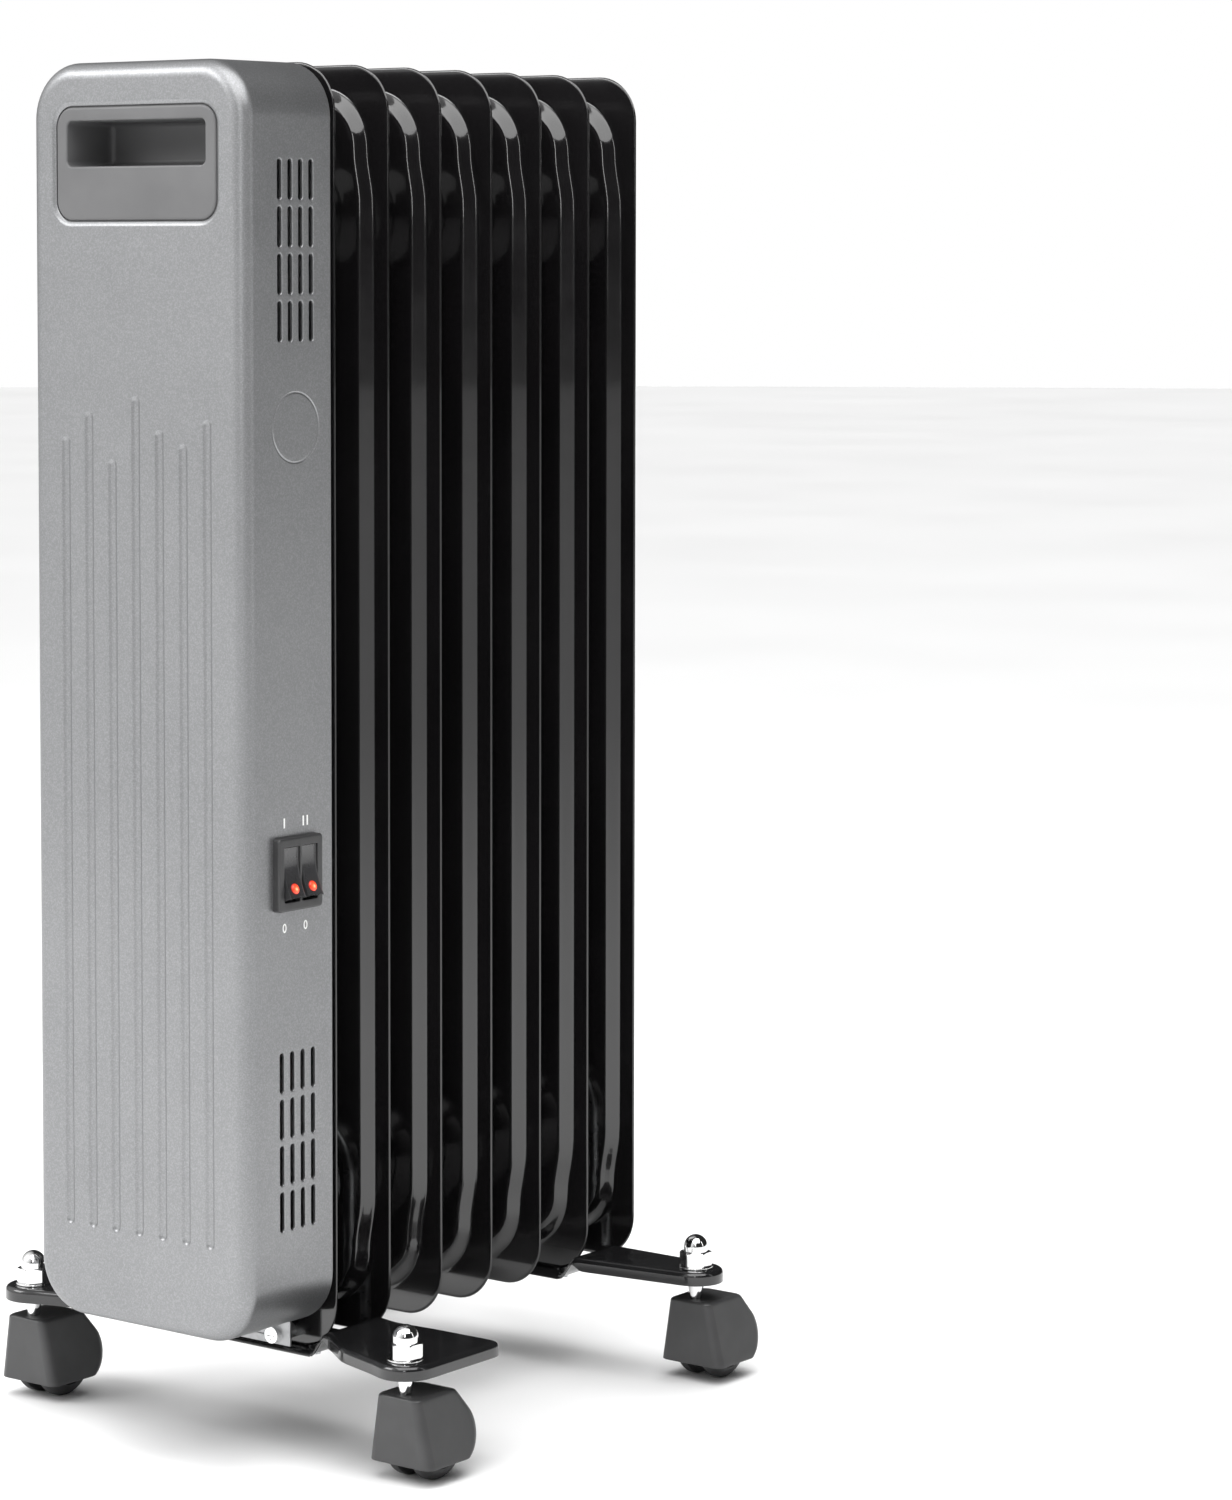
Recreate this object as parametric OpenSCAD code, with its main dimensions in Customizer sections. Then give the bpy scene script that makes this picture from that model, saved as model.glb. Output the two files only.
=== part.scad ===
// Oil filled column radiator heater on four twin-wheel casters.
// Millimetres. +Z is up. The control housing faces -Y and its switch is on the +X side.
// The origin is on the floor, under the middle of the heater.

/* [Radiator] */
// Width of a fin
fin_w = 110; // [92:0.5:132]
// Height of a fin
fin_h = 556; // [463:1:668]
// Corner radius of a fin
fin_corner_r = 21; // [17:0.5:25.5]
// Distance from one fin to the next
fin_pitch = 36; // [30:0.1:43.2]
// How far each half of a fin stands out from its weld seam
fin_bulge = 6; // [5:0.1:7.2]
// Width of the flat welded rim of a fin
fin_rim_w = 10; // [8:0.5:12]
// Thickness of the sheet that fins and collars are pressed from
fin_sheet = 0.6; // [0.5:0.05:0.75]
// Height of each oil header's axis above or below the end of a fin
header_inset = 65; // [54:1:78]
// Outer radius of a collar where it meets a fin
collar_r = 28; // [24:0.5:33]
// Outer radius of a collar halfway between two fins
collar_waist_r = 22; // [18.5:0.5:24]
// Sheet thickness of a collar
collar_t = 1.6; // [1.3:0.1:1.9]
// Radius of the oil ports between fins
port_r = 17; // [14.5:0.5:18]

/* [Housing] */
// Width of the control housing
housing_w = 122; // [102:1:146]
// Depth of the control housing
housing_d = 56; // [47:1:67]
// Height of the housing above the lower end of the fins
housing_rise = 14.5; // [12:0.5:17.4]
// Corner radius of the housing, seen from the front
housing_corner_r = 24; // [20:0.5:29]
// Radius of the rolled edge between the front face and the sides
housing_edge_r = 7; // [5.5:0.5:8.4]
// Sheet thickness of the housing
housing_wall = 1.2; // [1:0.1:1.5]
// Spacing of the seven grooves in the front face
groove_pitch = 13.5; // [11.3:0.1:16.2]
// Width of a groove
groove_w = 5.4; // [4.5:0.1:6.5]
// Depth of a groove
groove_deep = 0.6; // [0.4:0.05:0.7]

/* [Handle] */
// Width of the handle insert
handle_w = 91; // [76:1:109]
// Height of the handle insert
handle_h = 48; // [42:1:54]
// Width of the finger opening
grip_w = 79; // [66:1:94]
// Height of the finger opening
grip_h = 19.3; // [16.1:0.1:23.1]
// Depth of the finger recess
grip_deep = 28; // [23.5:0.5:33.5]
// Wall thickness of the handle insert
handle_wall = 1.8; // [1.5:0.1:2.2]

/* [Vents] */
// Length of a vent slot
vent_l = 17.1; // [14.3:0.1:18.5]
// Width of a vent slot
vent_w = 2.8; // [2.4:0.1:3.3]
// Distance between vent columns
vent_col_pitch = 6.7; // [5.6:0.1:8]
// Distance between vent rows
vent_row_pitch = 19.8; // [19:0.1:23.7]

/* [Switch] */
// Outer width of the switch frame
switch_w = 28.5; // [26.5:0.5:34]
// Outer height of the switch frame
switch_h = 31.3; // [29.3:0.1:37.5]
// How far the switch frame stands out of the housing
switch_rim = 3.4; // [2.8:0.1:4.1]
// Width of one rocker
rocker_w = 9.4; // [7.9:0.1:9.6]
// Swing radius of a rocker about its pivot
rocker_r = 11; // [9.5:0.1:11.4]
// Radius of a rocker's pivot pins
rocker_pin_r = 1.3; // [1.1:0.05:1.55]
// Tilt of a rocker to either side of its middle
rocker_tilt = 11; // [9.2:0.2:13.2]

/* [Brackets] */
// Height of the top of the bracket arms above the floor
ear_top = 52.3; // [50.3:0.1:62.8]
// Thickness of the bracket sheet
bracket_t = 1.5; // [1.3:0.1:1.8]
// Depth of the bracket's turned-down edge
lip_h = 6; // [5:0.1:7.2]
// How far the middle of a bracket is dropped below its arms
bracket_drop = 9.4; // [7.9:0.1:11.2]
// Distance from the middle of the heater to a caster stem, across
stem_x = 108.7; // [100:0.5:130]
// Distance from the front face to the front stems
stem_front_y = 46.5; // [41:0.5:54]
// Distance from the last fin but one to the rear stems
stem_rear_gap = 11; // [9.2:0.1:13.2]

/* [Casters] */
// Radius of a caster wheel
wheel_r = 15.5; // [13:0.1:16.5]
// Width of a caster wheel
wheel_w = 7.2; // [6:0.1:7.6]
// Distance that the axle trails behind the stem
caster_trail = 12; // [11.4:0.1:14.4]
// Thickness of the web between the two wheels
hood_web = 7.2; // [6.6:0.1:8.6]
// Height of the top of the caster hood above the floor
hood_top = 37.8; // [36.5:0.1:41]
// Radius of the swivel pin in the hood
swivel_pin_r = 2.6; // [2.2:0.05:2.7]
// Radius of a caster axle
axle_r = 2; // [1.7:0.05:2.4]
// Radius of the threaded stud above the bracket
stud_r = 4; // [3.4:0.1:4.8]
// Width across the flats of the acorn nut
nut_af = 13; // [11:0.5:15.5]

/* [Mains inlet] */
// Radius of the bore that holds the mains lead
gland_bore_r = 3.75; // [3.15:0.05:4.5]
// Radius of the inlet bush where it passes through the housing
gland_neck_r = 6.5; // [5.5:0.1:7.8]

/* [Hidden] */
$fn = 48;
cut = 0.5;               // how far a cutting shape runs past the face it cuts
arc_steps = 8;           // straight steps in each rounded corner of an outline
run_fit = 0.05;          // radial clearance of a turning pin
fixed_fit = 0.03;        // radial clearance of a screwed, brazed or staked pin
bolt_fit = 0.25;         // radial clearance of a bolt in its hole
seam = 0.04;             // weld seam between the two sheets of a fin

fin_count = 7;
header_cap_t = 2.2;
filler_head_h = 5.5;
fin_lead = 3.8;          // housing's rear edge to the first fin's front panel
housing_top_gap = 0.6;   // housing's top below the fins' top

// Positions along Y, from the front face of the housing to the end of the filler plug
radiator_l = fin_bulge * 2 + (fin_count - 1) * fin_pitch;
overall_l = housing_d + fin_lead + radiator_l + header_cap_t + filler_head_h;
front_y = -overall_l / 2;
housing_rear_y = front_y + housing_d;
function fin_y(i) = housing_rear_y + fin_lead + fin_bulge + i * fin_pitch;
last_panel_y = fin_y(fin_count - 1) + fin_bulge;

// Heights
fin_bottom = ear_top - bracket_drop;
fin_top = fin_bottom + fin_h;
fin_mid = fin_bottom + fin_h / 2;
upper_z = fin_top - header_inset;
lower_z = fin_bottom + header_inset;
housing_bottom = fin_bottom + housing_rise;
housing_top = fin_top - housing_top_gap;
housing_h = housing_top - housing_bottom;
side_x = housing_w / 2;

panel_w = fin_w - 2 * fin_rim_w;
panel_h = fin_h - 2 * fin_rim_w;
panel_r = max(fin_corner_r - fin_rim_w / 2, 4);

// Handle insert and its window in the housing
handle_z = housing_top - 43;
handle_r = 8.5;
window_gap = 0.5;
grip_z = handle_z + 8.5;
handle_flange = 3;

// Vents, on both sides of the housing
vent_y = housing_rear_y - 33;
vent_cols = 4;
vent_rows = 4;
upper_vent_z = housing_top - 41.5;
lower_vent_z = housing_bottom + 123;

// Blanked control position on the +X side
blank_y = housing_rear_y - 23.2;
blank_z = housing_top - 154;
blank_r = 15.2;
blank_line_w = 0.9;
blank_line_deep = 0.35;

// Grooves: distance of each groove's top below the top of the housing
groove_drops = [159, 148, 168, 141, 155, 160.5, 150];
groove_foot = 40;

// Switch
switch_y = housing_rear_y - 24.2;
switch_z = housing_bottom + 199;
switch_fit = 0.2;
switch_barrel_w = switch_w - 3;
switch_barrel_h = switch_h - 3;
switch_barrel_d = 19;
rocker_gap = 0.35;       // beside a rocker, in its well
rocker_well_w = rocker_w + 2 * rocker_gap;
rocker_divider = 1.2;
rocker_y_step = (rocker_well_w + rocker_divider) / 2;
rocker_well_r = rocker_r + 0.5;
rocker_pivot_in = 0.2;   // pivot axis below the housing's surface
rocker_x = side_x - rocker_pivot_in;
rocker_crown = 4.6;      // a rocker's ridge above its pivot
rocker_end_rise = 1.5;   // its ends above its middle
rocker_pin_l = 0.5;
lamp_r = 2.3;
lamp_h = 2.4;
lamp_at = 6.8;
lamp_proud = 0.5;

// Chassis plate inside the rear of the housing
plate_t = 1.2;
plate_gap = 0.4;
plate_y = housing_rear_y - plate_t - 0.2;
tab_w = 75;
tab_bottom = fin_bottom + 1.9;
screw_x = 28.4;
screw_r = 2;
screw_head_r = 3.6;
screw_head_h = 2.2;
screw_inset = 6;
screw_heights = [fin_bottom + screw_inset, fin_top - screw_inset];
foot_l = 9;
foot_x = housing_w / 2 - housing_corner_r - 7;

// Heating elements in the lower header
flange_r = 22;
flange_t = 5;
gasket_t = 1;
flange_y = fin_y(0) - fin_bulge - gasket_t - flange_t;
element_r = 3.6;
element_leg_x = 7.5;
element_rise = 5.5;
terminal_r = 1.5;
terminal_l = 13;

// Parts on the chassis plate
thermostat_size = [26, 18, 36];
thermostat_z = housing_bottom + 270;
cutout_z = housing_bottom + 135;
block_size = [34, 18, 13];
block_x = -28;
block_z = housing_bottom + 105;

// Mains inlet on the -X side
gland_y = housing_rear_y - 22;
gland_z = housing_bottom + housing_corner_r + 12;
gland_flange_r = 9.5;
gland_flange_t = 3;
gland_in = 13;
gland_nut_t = 4;

// Brackets
lip_t = 1.5;
arm_root_x = fin_w / 2 - 2;
tray_x = fin_w / 2 - 10;
tray_z = ear_top - bracket_drop;
rear_stem_y = fin_y(fin_count - 2) + stem_rear_gap;
front_stem_y = front_y + stem_front_y;
ear_r = 13;
front_tray_y = [fin_y(0) - 7, fin_y(1) - 3];
rear_tray_y = [fin_y(fin_count - 2) - 9.5, fin_y(fin_count - 2) + 24];
wing_y = fin_y(1) - 5;
wing_corner_r = 4;
arm_side_x = stem_x + ear_r;
u_bolt_r = 2.5;
u_bolt_gap = 2.2;
u_bolt_R = collar_waist_r + u_bolt_gap + u_bolt_r;
front_clamp_y = (fin_y(0) + fin_y(1)) / 2;
rear_clamp_y = (fin_y(fin_count - 2) + fin_y(fin_count - 1)) / 2;
wing_nut_h = 5;

// Casters
stems = [
    [-stem_x, front_stem_y],
    [stem_x, front_stem_y],
    [-stem_x, rear_stem_y],
    [stem_x, rear_stem_y]
];
stem_flange_r = 6.5;
stem_flange_t = 2;
stem_cone_r = 3.6;
stem_depth = 14;
stud_rise = 10.5;
washer_r = 8;
washer_t = 1;
nut_hex_h = 6;
nut_dome_r = 5.6;
nut_h = 14.2;
hood_bottom = 8;
hood_front = 6.5;       // front of the hood's top, ahead of the stem
hood_rear = 32.5;       // rearmost point, behind the stem
hood_foot_w = 35;
hood_crown_w = 22;
well_gap = 0.7;
wheel_gap = 0.6;
wheel_shoulder = 4.4;

// ---------- outlines ----------

// Points of an arc about [cx, cy]
function arc(cx, cy, r, from, to, steps = arc_steps) =
    [for (i = [0:steps]) let (a = from + (to - from) * i / steps) [cx + r * cos(a), cy + r * sin(a)]];

// Rounded rectangle about [cx, cy]
function rounded(cx, cy, w, h, r) = let (x = w / 2 - r, y = h / 2 - r) concat(
    arc(cx + x, cy + y, r, 0, 90),
    arc(cx - x, cy + y, r, 90, 180),
    arc(cx - x, cy - y, r, 180, 270),
    arc(cx + x, cy - y, r, 270, 360)
);

// An outline in X and Z, extruded from y_a to y_b
module slab_y(outline, y_a, y_b) {
    translate([0, y_b, 0]) rotate([90, 0, 0]) linear_extrude(y_b - y_a) polygon(outline);
}

// An outline in Y and Z, extruded from x_a to x_b
module slab_x(outline, x_a, x_b) {
    translate([x_a, 0, 0]) rotate([90, 0, 90]) linear_extrude(x_b - x_a) polygon(outline);
}

// A cylinder along Y from y_a to y_b
module rod_y(x, z, r, y_a, y_b) {
    translate([x, y_a, z]) rotate([-90, 0, 0]) cylinder(r = r, h = y_b - y_a);
}

// A cylinder along X from x_a to x_b
module rod_x(y, z, r, x_a, x_b) {
    translate([x_a, y, z]) rotate([0, 90, 0]) cylinder(r = r, h = x_b - x_a);
}

// An eight-sided rod between two points, run on by half its radius at both ends
module rod(a, b, r) {
    d = b - a;
    turn = [0, acos(d.z / norm(d)), atan2(d.y, d.x)];
    translate(a) rotate(turn) translate([0, 0, -r / 2]) cylinder(r = r, h = norm(d) + r, $fn = 8);
}

// A box about [cx, cy, cz]
module block(centre, size) {
    translate(centre) cube(size, center = true);
}

// ---------- radiator ----------

// One pressed sheet of fin number i: side is -1 for the front sheet and 1 for the rear one
module fin_sheet_half(i, side) {
    mirror([0, side < 0 ? 1 : 0, 0]) difference() {
        union() {
            slab_y(rounded(0, fin_mid, fin_w, fin_h, fin_corner_r), seam / 2, fin_sheet);
            slab_y(rounded(0, fin_mid, panel_w, panel_h, panel_r), seam / 2, fin_bulge);
        }
        slab_y(
            rounded(0, fin_mid, panel_w - 2 * fin_sheet, panel_h - 2 * fin_sheet, panel_r - fin_sheet),
            -cut, fin_bulge - fin_sheet
        );
        if (i > 0 || side > 0) rod_y(0, upper_z, port_r, 0, fin_bulge + cut);
        rod_y(0, lower_z, port_r, 0, fin_bulge + cut);
        if (i == 0) for (x = [-screw_x, screw_x], z = screw_heights)
            rod_y(x, z, screw_r + fixed_fit, -cut, fin_sheet + cut);
    }
}

// Fin number i, counted from the housing: two sheets welded at their rims
module fin(i) {
    color([0.05, 0.05, 0.06]) translate([0, fin_y(i), 0]) {
        fin_sheet_half(i, -1);
        fin_sheet_half(i, 1);
    }
}

// Collars that join the oil space of each fin to the next, at height z, with a weld bead at the waist
module collars(z) {
    half = fin_pitch / 2 - fin_bulge;
    profile = [
        [collar_r - collar_t, -half], [collar_r, -half], [collar_r - 1, -half + 2], [collar_waist_r + 1, -3],
        [collar_waist_r, -1.2], [collar_waist_r + 0.8, -0.6], [collar_waist_r + 0.8, 0.6],
        [collar_waist_r, 1.2], [collar_waist_r + 1, 3], [collar_r - 1, half - 2], [collar_r, half],
        [collar_r - collar_t, half], [collar_waist_r - collar_t, 3], [collar_waist_r - collar_t, -3]
    ];
    for (i = [0:fin_count - 2])
        translate([0, fin_y(i) + fin_pitch / 2, z]) rotate([-90, 0, 0]) rotate_extrude() polygon(profile);
}

module upper_collars() {
    color([0.05, 0.05, 0.06]) collars(upper_z);
}

module lower_collars() {
    color([0.05, 0.05, 0.06]) collars(lower_z);
}

// Welded discs that close both headers behind the last fin
module header_caps() {
    color([0.05, 0.05, 0.06]) {
        rod_y(0, lower_z, port_r + 4, last_panel_y, last_panel_y + header_cap_t);
        difference() {
            rod_y(0, upper_z, port_r + 4, last_panel_y, last_panel_y + header_cap_t);
            rod_y(0, upper_z, 6 + fixed_fit, last_panel_y - cut, last_panel_y + header_cap_t + cut);
        }
    }
}

// Plug in the oil filling hole
module filler_plug() {
    color([0.55, 0.55, 0.58]) {
        translate([0, last_panel_y + header_cap_t, upper_z]) rotate([-90, 0, 0])
            cylinder(r = 9.5, h = filler_head_h, $fn = 6);
        rod_y(0, upper_z, 6, last_panel_y - 4, last_panel_y + header_cap_t + cut);
    }
}

// ---------- heating elements ----------

// A U-shaped tubular element whose legs lie z_off from the header's axis
module element(z_off, reach) {
    z = lower_z + z_off;
    bend_y = fin_y(0) + reach - element_leg_x;
    color([0.45, 0.46, 0.48]) {
        for (x = [-element_leg_x, element_leg_x]) rod_y(x, z, element_r, flange_y - 4, bend_y);
        translate([0, bend_y, z]) rotate_extrude(angle = 180) translate([element_leg_x, 0])
            circle(r = element_r);
    }
}

module heating_element_low() {
    element(-element_rise, (fin_count - 1) * fin_pitch - 2);
}

module heating_element_high() {
    element(element_rise, (fin_count - 2) * fin_pitch - 2);
}

// Mounting flange that closes the lower header and carries both elements
module element_flange() {
    color([0.62, 0.6, 0.5]) difference() {
        rod_y(0, lower_z, flange_r, flange_y, flange_y + flange_t);
        for (x = [-element_leg_x, element_leg_x], z = [-element_rise, element_rise])
            rod_y(x, lower_z + z, element_r + fixed_fit, flange_y - cut, flange_y + flange_t + cut);
    }
}

module element_gasket() {
    color([0.2, 0.35, 0.3]) difference() {
        rod_y(0, lower_z, flange_r, flange_y + flange_t, flange_y + flange_t + gasket_t);
        rod_y(0, lower_z, port_r, flange_y, flange_y + flange_t + gasket_t + cut);
    }
}

module element_terminals() {
    color([0.72, 0.72, 0.74])
        for (x = [-element_leg_x, element_leg_x], z = [-element_rise, element_rise])
            rod_y(x, lower_z + z, terminal_r, flange_y - 4 - terminal_l, flange_y - 4);
}

// ---------- control housing ----------

// Solid with rounded corners and a rolled front edge, from its front face at y_a to y_b
module case_form(w, z_a, z_b, corner, edge, y_a, y_b) {
    hull() for (x = [-1, 1], z = [z_a + corner, z_b - corner])
        translate([x * (w / 2 - corner), y_a + edge, z]) rotate([-90, 0, 0]) {
            rotate_extrude($fn = 32) translate([corner - edge, 0]) circle(r = edge, $fn = 32);
            cylinder(r = corner, h = y_b - y_a - edge, $fn = 32);
        }
}

// One vent slot, through the side wall at x
module vent_slot(x, y, z_top) {
    span = housing_wall + 2 * cut;
    x_a = x > 0 ? x - housing_wall - cut : x - cut;
    block([x_a + span / 2, y, z_top - vent_l / 2], [span, vent_w, vent_l - vent_w]);
    for (z = [z_top - vent_w / 2, z_top - vent_l + vent_w / 2]) rod_x(y, z, vent_w / 2, x_a, x_a + span);
}

module vents(x) {
    for (z = [upper_vent_z, lower_vent_z], row = [0:vent_rows - 1], col = [0:vent_cols - 1])
        vent_slot(x, vent_y + col * vent_col_pitch, z - row * vent_row_pitch);
}

// The seven grooves pressed into the front face
module grooves() {
    foot = housing_bottom + groove_foot;
    for (i = [0:len(groove_drops) - 1]) {
        x = (i - (len(groove_drops) - 1) / 2) * groove_pitch;
        top = housing_top - groove_drops[i];
        slab_y(
            rounded(x, (top + foot) / 2, groove_w, top - foot, groove_w / 2 - 0.01),
            front_y - cut, front_y + groove_deep
        );
    }
}

module front_housing() {
    color([0.62, 0.63, 0.65]) difference() {
        case_form(
            housing_w, housing_bottom, housing_top,
            housing_corner_r, housing_edge_r,
            front_y, housing_rear_y
        );
        case_form(
            housing_w - 2 * housing_wall, housing_bottom + housing_wall, housing_top - housing_wall,
            housing_corner_r - housing_wall, housing_edge_r - housing_wall,
            front_y + housing_wall, housing_rear_y + cut
        );
        slab_y(
            rounded(0, handle_z, handle_w + 2 * window_gap, handle_h + 2 * window_gap, handle_r + window_gap),
            front_y - cut, front_y + housing_wall + cut
        );
        grooves();
        vents(side_x);
        vents(-side_x);
        difference() {
            rod_x(blank_y, blank_z, blank_r, side_x - blank_line_deep, side_x + cut);
            rod_x(blank_y, blank_z, blank_r - blank_line_w, side_x - blank_line_deep - cut, side_x + 2 * cut);
        }
        block(
            [side_x - housing_wall / 2, switch_y, switch_z],
            [housing_wall + 2 * cut, switch_barrel_w + 2 * switch_fit, switch_barrel_h + 2 * switch_fit]
        );
        rod_x(gland_y, gland_z, gland_neck_r + bolt_fit, -side_x - cut, -side_x + housing_wall + cut);
        block(
            [0, housing_rear_y, housing_bottom],
            [tab_w + 2 * plate_gap, 2 * (plate_t + 0.6), 2 * (housing_wall + cut)]
        );
        for (x = [-foot_x, foot_x]) translate([x, plate_y - foot_l / 2, housing_bottom - cut])
            cylinder(r = screw_r + bolt_fit, h = housing_wall + 2 * cut);
    }
}

// Grey moulded handle: a face plate flush with the housing, and a recess for the fingers
module handle_insert() {
    face_y = front_y + 0.3;
    back_y = front_y + housing_wall + 0.3;
    color([0.3, 0.3, 0.31]) difference() {
        union() {
            slab_y(rounded(0, handle_z, handle_w, handle_h, handle_r), face_y, back_y);
            slab_y(
                rounded(
                    0, handle_z, handle_w + 2 * handle_flange, handle_h + 2 * handle_flange,
                    handle_r + handle_flange
                ),
                back_y, back_y + handle_wall
            );
            slab_y(
                rounded(0, grip_z, grip_w + 2 * handle_wall, grip_h + 2 * handle_wall, 3 + handle_wall),
                back_y, front_y + grip_deep + handle_wall
            );
        }
        slab_y(rounded(0, grip_z, grip_w, grip_h, 3), face_y - cut, front_y + grip_deep);
    }
}

// Rear plate of the housing: it carries the controls and is screwed to the first fin
module chassis_plate() {
    inner_w = housing_w - 2 * housing_wall - 2 * plate_gap;
    inner_h = housing_h - 2 * housing_wall - 2 * plate_gap;
    mid = (housing_bottom + housing_top) / 2;
    foot_z = housing_bottom + housing_wall + plate_gap;
    color([0.5, 0.5, 0.52]) difference() {
        union() {
            slab_y(
                rounded(0, mid, inner_w, inner_h, housing_corner_r - housing_wall - plate_gap),
                plate_y, plate_y + plate_t
            );
            block(
                [0, plate_y + plate_t / 2, (tab_bottom + foot_z + plate_t) / 2],
                [tab_w, plate_t, foot_z + plate_t - tab_bottom]
            );
            for (x = [-foot_x, foot_x])
                block(
                    [x, plate_y - foot_l / 2 + plate_t / 2, foot_z + plate_t / 2],
                    [12, foot_l + plate_t, plate_t]
                );
        }
        rod_y(0, lower_z, flange_r + 2, plate_y - cut, plate_y + plate_t + cut);
        for (x = [-screw_x, screw_x], z = screw_heights)
            rod_y(x, z, screw_r + bolt_fit, plate_y - cut, plate_y + plate_t + cut);
        for (x = [-foot_x, foot_x]) translate([x, plate_y - foot_l / 2, foot_z - cut])
            cylinder(r = screw_r + fixed_fit, h = plate_t + 2 * cut);
        rod_y(0, cutout_z, 7, plate_y - cut, plate_y + plate_t + cut);
    }
}

// Pan-head screw along Y with its head's seat at y
module screw_y(x, z, y, length) {
    difference() {
        rod_y(x, z, screw_head_r, y - screw_head_h, y);
        for (size = [[1, 1.2, 4.4], [4.4, 1.2, 1]]) block([x, y - screw_head_h, z], size);
    }
    rod_y(x, z, screw_r, y - cut, y + length);
}

module chassis_screws() {
    color([0.8, 0.8, 0.82]) for (x = [-screw_x, screw_x], z = screw_heights)
        screw_y(x, z, plate_y, fin_y(0) - plate_y + 3);
}

// Sleeves that hold the chassis plate off the first fin's rim
module chassis_spacers() {
    a = plate_y + plate_t;
    b = fin_y(0) - fin_sheet;
    color([0.7, 0.7, 0.72]) for (x = [-screw_x, screw_x], z = screw_heights)
        difference() {
            rod_y(x, z, screw_r + 1.6, a, b);
            rod_y(x, z, screw_r + bolt_fit, a - cut, b + cut);
        }
}

// Screws up through the floor of the housing into the feet of the chassis plate
module case_screws() {
    color([0.8, 0.8, 0.82]) for (x = [-foot_x, foot_x])
        translate([x, plate_y - foot_l / 2, housing_bottom]) {
            translate([0, 0, -screw_head_h]) difference() {
                cylinder(r = screw_head_r, h = screw_head_h);
                for (size = [[1, 4.4, 2.4], [4.4, 1, 2.4]]) cube(size, center = true);
            }
            translate([0, 0, -cut]) cylinder(r = screw_r, h = 7 + cut);
        }
}

// ---------- controls inside the housing ----------

// Fixed bimetal thermostat with its two blades
module thermostat() {
    y = plate_y - thermostat_size.y / 2;
    color([0.85, 0.82, 0.72]) {
        block([0, y, thermostat_z], thermostat_size);
        for (z = [-9, 9]) block([0, y - thermostat_size.y / 2 - 4, thermostat_z + z], [6.3, 8 + cut, 0.8]);
    }
}

// Overheat cut-out: a disc that looks at the first fin through the chassis plate
module thermal_cutout() {
    color([0.25, 0.22, 0.2]) {
        rod_y(0, cutout_z, 8.5, plate_y - 7, plate_y);
        rod_y(0, cutout_z, 6.5, plate_y - 1, plate_y + plate_t);
        for (x = [-5, 5]) block([x, plate_y - 11, cutout_z], [0.8, 8 + cut, 6.3]);
    }
}

// Mains terminal block with a screw for each pole
module terminal_block() {
    y = plate_y - block_size.y / 2;
    color([0.9, 0.9, 0.86]) difference() {
        block([block_x, y, block_z], block_size);
        for (i = [-1:1]) rod_y(block_x + i * 10.5, block_z, 3, y - block_size.y, y - 2);
    }
    color([0.75, 0.65, 0.4]) for (i = [-1:1]) rod_y(block_x + i * 10.5, block_z, 2.6, y - 6, y - 2);
}

// One insulated wire through a list of points
module wire(points) {
    for (i = [0:len(points) - 2]) rod(points[i], points[i + 1], 1.2);
}

module wiring() {
    bay_y = plate_y - 26;
    switch_back_x = side_x - switch_barrel_d - 8;
    color([0.75, 0.3, 0.25]) {
        for (i = [-1:1]) {
            x = block_x + i * 10.5;
            wire([[x, bay_y + 8, block_z], [x, bay_y, block_z + 8], [x + 4, bay_y, block_z + 40]]);
        }
        for (i = [0:1]) {
            x = 10 + 8 * i;
            top = switch_z + (i - 0.5) * 12;
            wire([
                [x, bay_y, lower_z + 36], [x, bay_y, top - 30],
                [switch_back_x - 6, switch_y, top - 6], [switch_back_x - 2.2, switch_y, top]
            ]);
            z = thermostat_z + (i - 0.5) * 18;
            wire([[-6 * i - 12, bay_y, block_z + 60], [-6 * i - 12, bay_y, z - 24], [-4, bay_y - 5, z - 3]]);
        }
    }
}

// Bush that the mains lead passes through
module cord_gland() {
    color([0.08, 0.08, 0.08]) difference() {
        union() {
            rod_x(gland_y, gland_z, gland_flange_r, -side_x - gland_flange_t, -side_x);
            rod_x(gland_y, gland_z, gland_neck_r, -side_x - cut, -side_x + gland_in);
        }
        rod_x(gland_y, gland_z, gland_bore_r, -side_x - gland_flange_t - cut, -side_x + gland_in + cut);
    }
}

module gland_nut() {
    x = -side_x + housing_wall;
    color([0.12, 0.12, 0.12]) difference() {
        translate([x, gland_y, gland_z]) rotate([0, 90, 0])
            cylinder(r = gland_neck_r + 3.5, h = gland_nut_t, $fn = 6);
        rod_x(gland_y, gland_z, gland_neck_r + fixed_fit, x - cut, x + gland_nut_t + cut);
    }
}

// ---------- switch ----------

// Moulded frame and body of the double rocker switch
module switch_body() {
    color([0.06, 0.06, 0.06]) difference() {
        union() {
            slab_x(rounded(switch_y, switch_z, switch_w, switch_h, 1.5), side_x, side_x + switch_rim);
            block(
                [side_x - switch_barrel_d / 2 + cut / 2, switch_y, switch_z],
                [switch_barrel_d + cut, switch_barrel_w, switch_barrel_h]
            );
        }
        for (side = [-1, 1]) {
            y = switch_y + side * rocker_y_step;
            translate([rocker_x, y - rocker_well_w / 2, switch_z]) rotate([-90, 0, 0])
                cylinder(r = rocker_well_r, h = rocker_well_w);
            block(
                [rocker_x + 10, y, switch_z],
                [20, rocker_well_w, 2 * rocker_well_r]
            );
            rod_y(
                rocker_x, switch_z, rocker_pin_r + run_fit,
                y - rocker_well_w / 2 - rocker_pin_l, y + rocker_well_w / 2 + rocker_pin_l
            );
        }
    }
}

module switch_terminals() {
    x = side_x - switch_barrel_d;
    color([0.75, 0.75, 0.77]) for (y = [-rocker_y_step, rocker_y_step], z = [-8, 0, 8])
        block([x - 4, switch_y + y, switch_z + z], [8, 4.8, 0.8]);
}

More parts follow.
